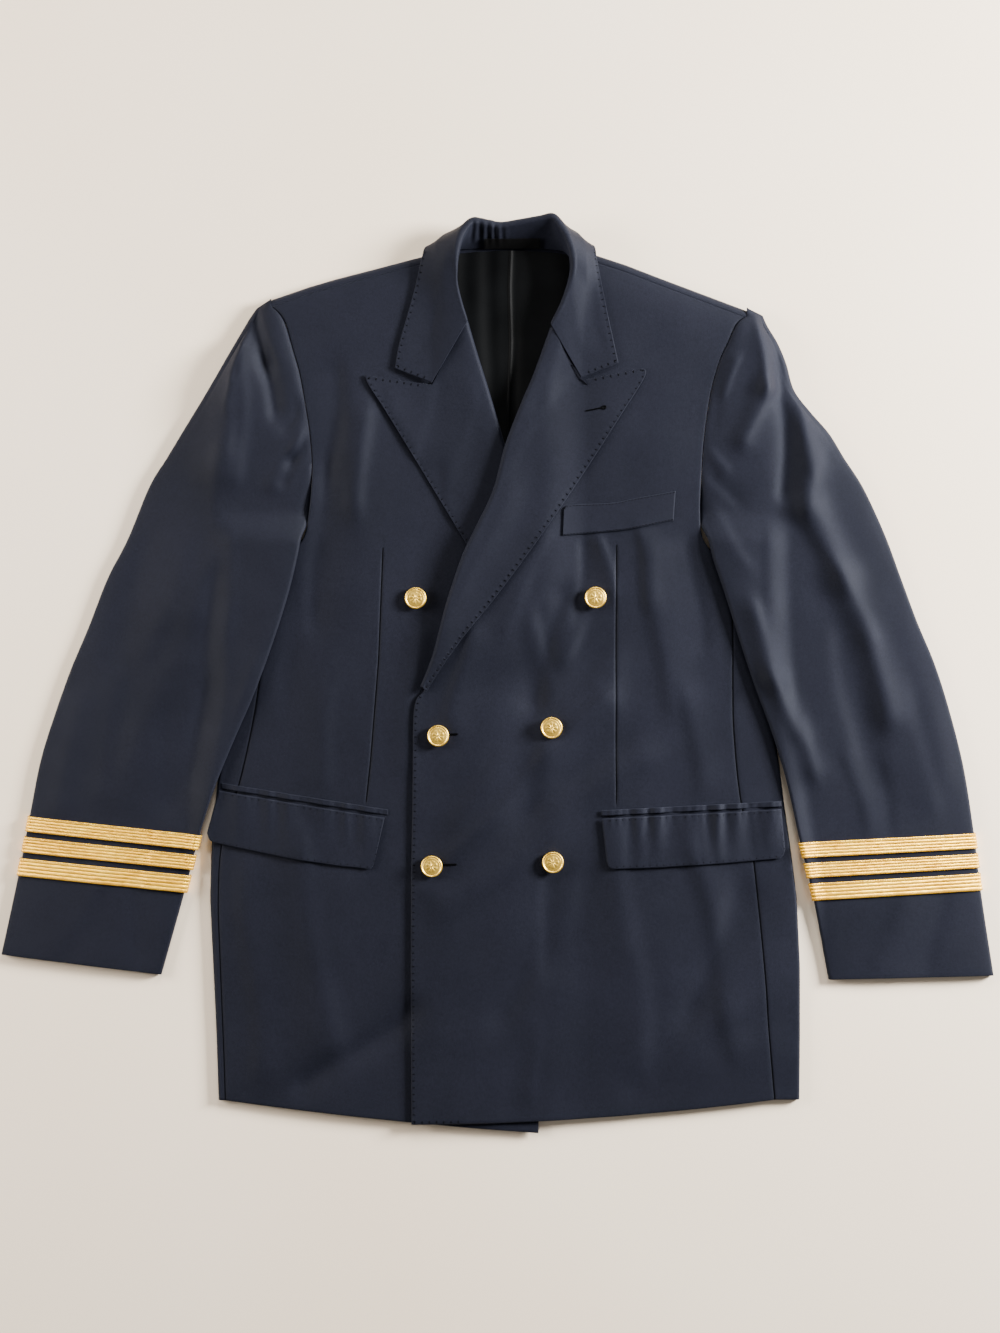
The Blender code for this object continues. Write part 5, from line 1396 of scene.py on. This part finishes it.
def make_label(collar):
    """A blank woven label on the stand, from the collar's own points moved out."""
    stand = collar[:, 0:13]
    feet = stand[:, 0]
    heads = stand[:, 12]

    def across_at(points, x):
        return np.array([np.interp(x, feet[:, 0], points[:, axis]) for axis in range(3)])

    rows = []
    for x in np.linspace(LABEL_X[0], LABEL_X[1], 40):
        foot = across_at(feet, x)
        head = across_at(heads, x)
        up = (head - foot) / np.linalg.norm(head - foot)
        along = across_at(feet, x + 3.0) - across_at(feet, x - 3.0)
        normal = np.cross(along, up)
        out = normal / np.linalg.norm(normal) * 1.9
        rows.append([foot + up * reach + out for reach in np.linspace(1.0, LABEL_HEIGHT + 1.0, 10)])
    grid = np.array(rows)
    cloth("label_blank", grid, "label", ["label"], wall=0.4, flip=True)
    ends = [grid[1, 1:-1] + (0.0, 0.0, 0.3), grid[-2, 1:-1] + (0.0, 0.0, 0.3)]
    pick_stitches("label_stitches", ends, pitch=1.6, length=1.1, radius=0.25, across=False)


def armhole_rows(rows, plan, side, gap):
    """Sleeve rows whose inner edge follows the front's armhole down to the underarm."""
    edge = plan[:, -1]
    edge = edge[edge[:, 1] > UNDERARM_Y + 10.0][::-1]
    rows = rows.copy()
    slant = 1.0 + SHOULDER_SLANT * step(rows[:, 3], 300.0, 335.0)
    seam = np.interp(rows[:, 3], edge[:, 1], edge[:, 0]) + side * gap * slant
    share = step(rows[:, 3], UNDERARM_Y + 15.0, UNDERARM_Y + 35.0)
    rows[:, 2] = rows[:, 2] * (1.0 - share) + seam * share
    return rows


def sleeve_section(row, side, folds, creases, top_steps=46, arc_steps=8):
    """One cross row of a sleeve's upper piece, from its outer tuck over the top to its inner tuck."""
    outer = np.array(row[0:2])
    inner = np.array(row[2:4])
    radius, crown, folded = row[4], row[5], row[6]
    width = np.hypot(*(inner - outer))
    radius = min(radius, width * 0.3)
    run = (inner - outer) / width
    tuck = min(SLEEVE_TUCK, width * 0.25)
    points = [(radius + tuck, 0.0), (radius + 0.4 * tuck, 0.0)]
    for k in range(arc_steps + 1):
        angle = -pi / 2.0 + pi * k / arc_steps
        points.append((radius - radius * cos(angle), radius + radius * sin(angle)))
    meeting = float(outer_top(*inner)) - 2.0 * radius
    for k in range(1, top_steps):
        t = k / top_steps
        s = radius + (width - radius * (1.0 + folded)) * t
        swell = crown * (1.0 - (2.0 * t - 1.0) ** 2) ** 0.7
        points.append((s, 2.0 * radius + swell + meeting * t ** 1.5 * (1.0 - folded)))
    for k in range(arc_steps + 1):
        angle = pi / 2.0 - pi * k / arc_steps
        down = 4.0 * k / arc_steps
        round_s = width - radius + radius * cos(angle)
        round_z = radius + radius * sin(angle)
        drop_s = width - 0.12 * down
        drop_z = 2.0 * radius + meeting - 0.8 * down
        points.append((drop_s + (round_s - drop_s) * folded, drop_z + (round_z - drop_z) * folded))
    for k, share in ((1, 0.6), (2, 1.0)):
        round_s = width - radius - tuck * share
        drop_s = width - 0.12 * (4 + k)
        drop_z = 2.0 * radius + meeting - 0.8 * (4 + k)
        points.append((drop_s + (round_s - drop_s) * folded, drop_z * (1.0 - folded)))
    s, z = np.array(points).T
    x = outer[0] + run[0] * s
    y = outer[1] + run[1] * s
    lift = sleeve_base(x, y, side) * min(folded, 1.0)
    number = np.arange(len(s))
    on_top = (number > 2 + arc_steps) & (number < 2 + arc_steps + top_steps)
    calm = step(s, 0.0, 26.0) * step(width - s, 0.0, 26.0) * on_top
    fine_calm = step(s, 0.0, 12.0) * step(width - s, 0.0, 12.0) * on_top
    fine = SLEEVE_CREASE_SHARE * crease_height(x, y, creases) + 1.3 * ripple(x, y)
    z = z + calm * fold_height(x, y, folds) + fine_calm * fine
    return np.column_stack((x, y, z + lift))


def under_points(table, side, front, sections, columns):
    """The under piece of a sleeve, between the two tucks of the upper piece."""
    grid = []
    rows = through(table, np.linspace(1.3, len(table) - 1.0, sections))
    for row in armhole_rows(rows, front, side, SEAM):
        outer = np.array(row[0:2])
        inner = np.array(row[2:4])
        radius, folded = row[4], row[6]
        width = np.hypot(*(inner - outer))
        radius = min(radius, width * 0.3)
        tuck = min(SLEEVE_TUCK, width * 0.25)
        run = (inner - outer) / width
        start = radius + tuck + TUCK_GAP
        end = width - 6.0 - (radius + tuck + TUCK_GAP - 6.0) * step(folded, 0.0, 0.3)
        s = np.linspace(start, end, columns)
        x = outer[0] + run[0] * s
        y = outer[1] + run[1] * s
        crease = 0.7 * np.exp(-((s - 0.45 * width + 0.1 * y) / 7.0) ** 2) * step(y, -240.0, -140.0)
        z = np.maximum(sleeve_base(x, y, side) * min(folded, 1.0), crease * step(y, 120.0, 60.0))
        grid.append(np.column_stack((x, y, z)))
    return np.array(grid)


def make_sleeves(right_front, left_front):
    for name, table, side, folds, creases, front in (
        ("right", SLEEVE_RIGHT, -1.0, SLEEVE_RIGHT_FOLDS, SLEEVE_RIGHT_CREASES, right_front),
        ("left", SLEEVE_LEFT, 1.0, SLEEVE_LEFT_FOLDS, SLEEVE_LEFT_CREASES, left_front),
    ):
        rows = through(table, np.linspace(0.0, len(table) - 1.0, 170))
        rows = armhole_rows(rows, front, side, SEAM)
        top = np.array([sleeve_section(row, side, folds, creases) for row in rows])
        cloth(f"sleeve_top_{name}_cloth", top, f"sleeve_{name}", [f"sleeve_top_{name}"],
              flip=side < 0, rolled=(0, 0.3, 0, 0))
        under = under_points(table, side, front, 90, 40)
        cloth(f"sleeve_under_{name}_cloth", under, f"sleeve_{name}", [f"sleeve_under_{name}"],
              flip=side > 0)
        make_braids(name, table, side, folds, creases)


def make_braids(name, table, side, folds, creases):
    """Three ribbed gold braids round the upper side of the cuff, stitched along both edges."""
    first = len(table) - 3.0
    share = np.linspace(0.0, 1.0, BRAID_LINES)
    ribs = np.abs(np.sin(BRAID_RIBS * pi * share)) ** 0.6 * BRAID_RIB_HEIGHT
    paths = []
    for index in range(BRAID_COUNT):
        start = first + index * BRAID_PITCH_SHARE
        rows = through(table, start + BRAID_WIDTH_SHARE * share)
        grid = np.array([sleeve_section(row, side, folds, creases) for row in rows])[:, 4:-4]
        normal = normals_of(grid, side)
        raised = SHELL * 0.25 + WALL_BRAID + ribs[:, None]
        if side < 0:
            joint = plan_x(BRAID_JOINT_PX[index])
            raised = raised + 0.9 * step(grid[..., 0], joint - 0.4, joint + 0.4)
        pull = 0.10 * np.sin(grid[..., 0] / 2.3 + index) * np.sin(share * 9.0)[:, None]
        grid = grid + normal * (raised + pull)[..., None]
        cloth(f"braid_{name}_{index + 1}_woven", grid, "braid", [f"braid_{name}_{index + 1}"],
              wall=0.8, flip=side < 0, rolled=(0.6, 0.6, 0, 0))
        paths += [grid[2], grid[-3]]
    centres, runs, ups = [], [], []
    for path in paths:
        points, run = resampled(path, BRAID_STITCH_PITCH)
        centres.append(points)
        runs.append(run)
        side_way = np.tile((0.0, 1.0, 0.0), (len(run), 1))
        up = np.cross(run, side_way)
        ups.append(up * np.sign(up[:, 2:3] + 1e-9))
    centres = np.concatenate(centres)
    ups = np.concatenate(ups)
    beads(f"braid_{name}_stitches", centres + ups * 0.12, np.concatenate(runs), ups, 1.4, 0.36,
          "gold_thread", sides=5, rings=3)


def flap_plan(rows, columns, depth_steps):
    """A flap with its lower corners rounded."""
    table = np.array(rows, float)
    x = np.linspace(table[0, 0], table[-1, 0], columns)
    inner = table[1:-1]
    top_y = np.interp(x, table[:, 0], table[:, 1])
    slope = (inner[-1, 3] - inner[0, 3]) / (inner[-1, 2] - inner[0, 2])
    bottom_x = np.interp(x, table[:, 0], table[:, 2])
    bottom_y = inner[0, 3] + slope * (bottom_x - inner[0, 2]) - 0.3
    bow = np.interp(bottom_x, inner[:, 2], inner[:, 3]) - (inner[0, 3] + slope * (bottom_x - inner[0, 2]))
    bottom_y = bottom_y + bow * step(bottom_x, inner[0, 2], inner[0, 2] + 20.0) \
        * step(bottom_x, inner[-1, 2], inner[-1, 2] - 20.0)
    for end in (bottom_x[0], bottom_x[-1]):
        near = np.clip(1.0 - np.abs(bottom_x - end) / FLAP_CORNER, 0.0, 1.0)
        bottom_y = bottom_y + FLAP_CORNER * (1.0 - np.sqrt(1.0 - near ** 2))
    return rows_between(np.column_stack((x, top_y)), np.column_stack((bottom_x, bottom_y)), depth_steps)


def flap_height(height, number):
    def at(x, y):
        top = np.interp(x, (FLAP_RIGHT[0].top_x, FLAP_RIGHT[-1].top_x, FLAP_LEFT[0].top_x, FLAP_LEFT[-1].top_x),
                        (FLAP_RIGHT[0].top_y, FLAP_RIGHT[-1].top_y, FLAP_LEFT[0].top_y, FLAP_LEFT[-1].top_y))
        below = np.clip((top - y) / 22.0, 0.0, 3.0)
        pucker = 1.3 * np.sin(x / 3.9 + 1.3 * np.sin(x / 11.0)) * np.exp(-(below / 1.3) ** 2)
        pucker = pucker + 0.25 * np.sin(x / 1.25 + 0.8 * np.sin(x / 6.0)) * np.exp(-(below / 0.35) ** 2)
        soft = crease_height(x, y, FLAP_CREASES)
        return height(x, y) + pucker * (1.0 if number else 0.6) + soft
    return at


def laid_on(plan, height, lift):
    z = height(plan[..., 0], plan[..., 1]) + lift
    return np.dstack((plan, z))


def make_pockets():
    paths = []
    for number, (name, rows, jet, height) in enumerate((
        ("right", FLAP_RIGHT, JET_RIGHT, right_top),
        ("left", FLAP_LEFT, JET_LEFT, left_top),
    )):
        flap = laid_on(flap_plan(rows, 110, 34), flap_height(height, number), LAY + WALL_FLAP)
        cloth(f"pocket_flap_{name}_cloth", flap, "cloth", [f"pocket_flap_{name}"], wall=1.4,
              rolled=(0.6, 0.6, 0.6, 0.6))
        paths.append(inset_line(flap.transpose(1, 0, 2), first=False, inset=PICK_INSET))
        paths.append(inset_line(flap, first=True, inset=PICK_INSET)[3:-3])
        paths.append(inset_line(flap, first=False, inset=PICK_INSET)[3:-3])
        top = np.linspace(jet[0], jet[1], 100)
        strip = rows_between(top, top - np.array((0.0, JET_DEPTH)), 6)
        cloth(f"pocket_jet_{name}_cloth", laid_on(strip, flap_height(height, number), PRESSED + WALL_JET),
              "cloth", [f"pocket_jet_{name}"], wall=1.0, rolled=(0.4, 0.4, 0.9, 0.6))
    top = through(WELT_TOP, np.linspace(0, 4, 60))
    low = through(WELT_BOTTOM, np.linspace(0, 4, 60))
    welt = laid_on(rows_between(top, low, 18), left_top, PRESSED + WALL_WELT)
    cloth("breast_welt_cloth", welt, "lapel", ["breast_welt"], wall=1.2,
          rolled=(0.7, 0.7, 0.6, 0.9))
    ends = [inset_line(welt, first=True, inset=1.2), inset_line(welt, first=False, inset=1.2)]
    pick_stitches("flap_stitches", paths, pitch=6.0, length=1.6, radius=0.3)
    pick_stitches("welt_stitches", ends, pitch=3.0, length=1.8, radius=0.3, across=False)


def tube(name, path, radius, finish, sides=6, closed=False, ribbed=0.0):
    """A thread of given radius along a path of plan points."""
    path = np.asarray(path, float)
    ahead = np.roll(path, -1, axis=0) if closed else np.gradient(path, axis=0) + path
    behind = np.roll(path, 1, axis=0) if closed else path
    run = ahead - behind
    run = run / np.maximum(np.linalg.norm(run, axis=1, keepdims=True), 1e-9)
    side_way = np.cross((0.0, 0.0, 1.0), run)
    side_way = side_way / np.maximum(np.linalg.norm(side_way, axis=1, keepdims=True), 1e-9)
    upward = np.cross(run, side_way)
    turns = 2.0 * pi * np.arange(sides) / sides
    size = radius * (1.0 + ribbed * (np.arange(len(path)) % 2))[:, None, None]
    ring = (path[:, None, :] + size * (np.cos(turns)[None, :, None] * side_way[:, None, :]
                                       + np.sin(turns)[None, :, None] * upward[:, None, :]))
    count = len(path)
    faces = []
    for i in range(count if closed else count - 1):
        j = (i + 1) % count
        for s in range(sides):
            t = (s + 1) % sides
            faces.append((i * sides + s, i * sides + t, j * sides + t, j * sides + s))
    if not closed:
        faces.append(tuple(range(sides))[::-1])
        faces.append(tuple((count - 1) * sides + s for s in range(sides)))
    mesh = bpy.data.meshes.new(name)
    mesh.from_pydata(metres(ring.reshape(-1, 3)), [], faces)
    mesh.update()
    return add_piece(name, mesh, finish, ())


def buttonhole(name, start, end, height, width, eye=0.0):
    """A worked buttonhole: a purled rim round a slit, with an eye at one end of a keyhole. The slit is a flat sheet
    in the black lining finish, painted shade in the opening.
    """
    start, end = np.array(start), np.array(end)
    run = (end - start) / np.hypot(*(end - start))
    side_way = np.array((-run[1], run[0]))
    length = np.hypot(*(end - start))
    outline = []
    for k in range(15):
        angle = pi / 2.0 + pi * k / 14
        outline.append(start + run * 0.5 * width * cos(angle) + side_way * 0.5 * width * sin(angle))
    bulge = max(eye, width)
    for k in range(19):
        angle = -pi * 0.72 + 1.44 * pi * k / 18 if eye else -pi / 2.0 + pi * k / 18
        outline.append(end + run * 0.5 * bulge * cos(angle) + side_way * 0.5 * bulge * sin(angle))
    outline = np.array(outline)
    closed = np.concatenate((outline, outline[:1]))
    gone = np.concatenate(((0.0,), np.cumsum(np.hypot(*np.diff(closed, axis=0).T))))
    at = np.linspace(0.0, gone[-1], int(2 * length / 0.45) + 40)[:-1]
    plan = np.column_stack([np.interp(at, gone, closed[:, axis]) for axis in range(2)])
    z = height(plan[:, 0], plan[:, 1])
    tube(name + "_purl", np.column_stack((plan, z + 0.25)), 0.42, "thread", closed=True, ribbed=0.35)
    # The opening inside the purl is filled with a flat near-black sheet: painted shade.
    middle = plan.mean(axis=0)
    count = len(plan)
    vertices = np.concatenate((np.column_stack((plan, z + 0.12)),
                               [(middle[0], middle[1], float(height(*middle)) + 0.12)]))
    faces = [((i + 1) % count, i, count) for i in range(count)]
    mesh = bpy.data.meshes.new(name + "_slit_shade")
    mesh.from_pydata(metres(vertices), [], faces)
    mesh.update()
    add_piece(name + "_slit_shade", mesh, "lining", ())


def make_buttonholes():
    def on_lapel(x, y):
        return left_top(x, y) + WALL_LAPEL + LAY + crease_height(x, y, LAPEL_CREASES)

    def at(px, py):
        return (plan_x(px), plan_y(py))

    buttonhole("lapel_keyhole", at(585.6, 412.4), at(601.5, 409.4), on_lapel, 0.4)
    buttonhole("lapel_eye", at(602.8, 409.2), at(603.6, 409.0), on_lapel, 3.0)
    buttonhole("front_hole_middle", at(434.0, 734.6), at(457.0, 734.0), left_top, 1.0)
    buttonhole("front_hole_lower", at(430.0, 864.4), at(456.0, 863.6), left_top, 1.0)


def button_face(radius, angle):
    """Height of a button's face over its back: shallow dome, raised rim and a plain rosette."""
    r = radius / BUTTON_RADIUS
    dome = BUTTON_THICK - 0.1 + 0.45 * (1.0 - (r / 0.8) ** 2) * (r < 0.8)
    rim = 0.42 * np.exp(-((r - 0.90) / 0.055) ** 2)
    rope = 0.04 * np.sin(44.0 * angle) * np.exp(-((r - 0.90) / 0.05) ** 2)
    groove = -0.25 * np.exp(-((r - 0.80) / 0.035) ** 2)
    petals = 0.5 * (1.0 + np.cos(8.0 * angle))
    rosette = 0.36 * step(r, 0.60, 0.46 + 0.0 * r) * (0.25 + 0.75 * petals ** 0.7) * step(r, 0.04, 0.16)
    boss = 0.40 * np.exp(-(r / 0.13) ** 2)
    edge = -0.9 * step(r, 0.95, 1.0)
    return dome + rim + rope + groove + rosette + boss + edge


def make_buttons():
    rings = np.concatenate((np.linspace(0.0, 0.78, 26), np.linspace(0.80, 1.0, 14)))[1:] * BUTTON_RADIUS
    sides = 132
    turns = 2.0 * pi * np.arange(sides) / sides
    for place in BUTTONS:
        low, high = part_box(place.name)
        seat = low[2] / MM + SHANK_LENGTH
        tilt = 0.012 * sin(place.x + place.y), 0.010 * cos(place.x)
        vertices = [(0.0, 0.0, float(button_face(np.array(0.0), np.array(0.0))))]
        for r in rings:
            vertices += [(r * cos(a), r * sin(a), z) for a, z in zip(turns, button_face(np.full(sides, r), turns))]
        count = len(rings)
        for r, z in ((BUTTON_RADIUS - 0.5, 0.0), (3.2, 0.0), (3.0, -SHANK_LENGTH)):
            vertices += [(r * cos(a), r * sin(a), z) for a in turns]
        faces = [(0, 1 + s, 1 + (s + 1) % sides) for s in range(sides)]
        for i in range(count + 2):
            base = 1 + i * sides
            for s in range(sides):
                t = (s + 1) % sides
                faces.append((base + s, base + sides + s, base + sides + t, base + t))
        last = 1 + (count + 2) * sides
        faces.append(tuple(last + s for s in range(sides))[::-1])
        points = np.array(vertices)
        turn = BUTTON_TURN * (place.x + place.y)
        x = points[:, 0] * cos(turn) - points[:, 1] * sin(turn)
        y = points[:, 0] * sin(turn) + points[:, 1] * cos(turn)
        z = points[:, 2] + seat + tilt[0] * x + tilt[1] * y
        mesh = bpy.data.meshes.new(place.name + "_gilt")
        mesh.from_pydata(metres(np.column_stack((x + place.x, y + place.y, z))), [], faces)
        mesh.update()
        add_piece(place.name + "_gilt", mesh, "button", [place.name])


def make_stage():
    mesh = bpy.data.meshes.new("floor")
    made = bmesh.new()
    bmesh.ops.create_grid(made, x_segments=24, y_segments=24, size=3.0)
    made.to_mesh(mesh)
    made.free()
    floor = bpy.data.objects.new("floor", mesh)
    floor.location.z = -0.0006
    bpy.context.scene.collection.objects.link(floor)
    mesh.materials.append(MATERIALS["floor"])


def add_light(name, place, size, power, colour, aim=(0.0, 0.0, 0.0)):
    data = bpy.data.lights.new(name, "AREA")
    data.shape = "RECTANGLE"
    data.size, data.size_y = size
    data.energy = power
    data.color = colour
    lamp = bpy.data.objects.new(name, data)
    lamp.location = place
    from_to = Vector(aim) - Vector(place)
    lamp.rotation_euler = from_to.to_track_quat("-Z", "Y").to_euler()
    bpy.context.scene.collection.objects.link(lamp)


def make_lights_and_camera():
    world = bpy.data.worlds.new("soft_room")
    bpy.context.scene.world = world
    world.use_nodes = True
    world.node_tree.nodes["Background"].inputs["Color"].default_value = (1.0, 0.965, 0.92, 1.0)
    world.node_tree.nodes["Background"].inputs["Strength"].default_value = WORLD_STRENGTH
    for light in LIGHTS:
        add_light(light.name, (light.x, light.y, light.z), (light.wide, light.high), light.power, light.colour)
    data = bpy.data.cameras.new("camera")
    data.lens = CAMERA_LENS
    camera = bpy.data.objects.new("camera", data)
    camera.location = (CAMERA_X, CAMERA_Y, CAMERA_HEIGHT)
    bpy.context.scene.collection.objects.link(camera)
    bpy.context.scene.camera = camera


def main():
    make_backs()
    make_lining()
    right_front, left_front = make_fronts()
    make_sides(right_front, left_front)
    make_lapels()
    make_collar()
    make_sleeves(right_front, left_front)
    make_pockets()
    make_buttonholes()
    make_buttons()
    make_stage()
    make_lights_and_camera()


MATERIALS = material_slots()
main()
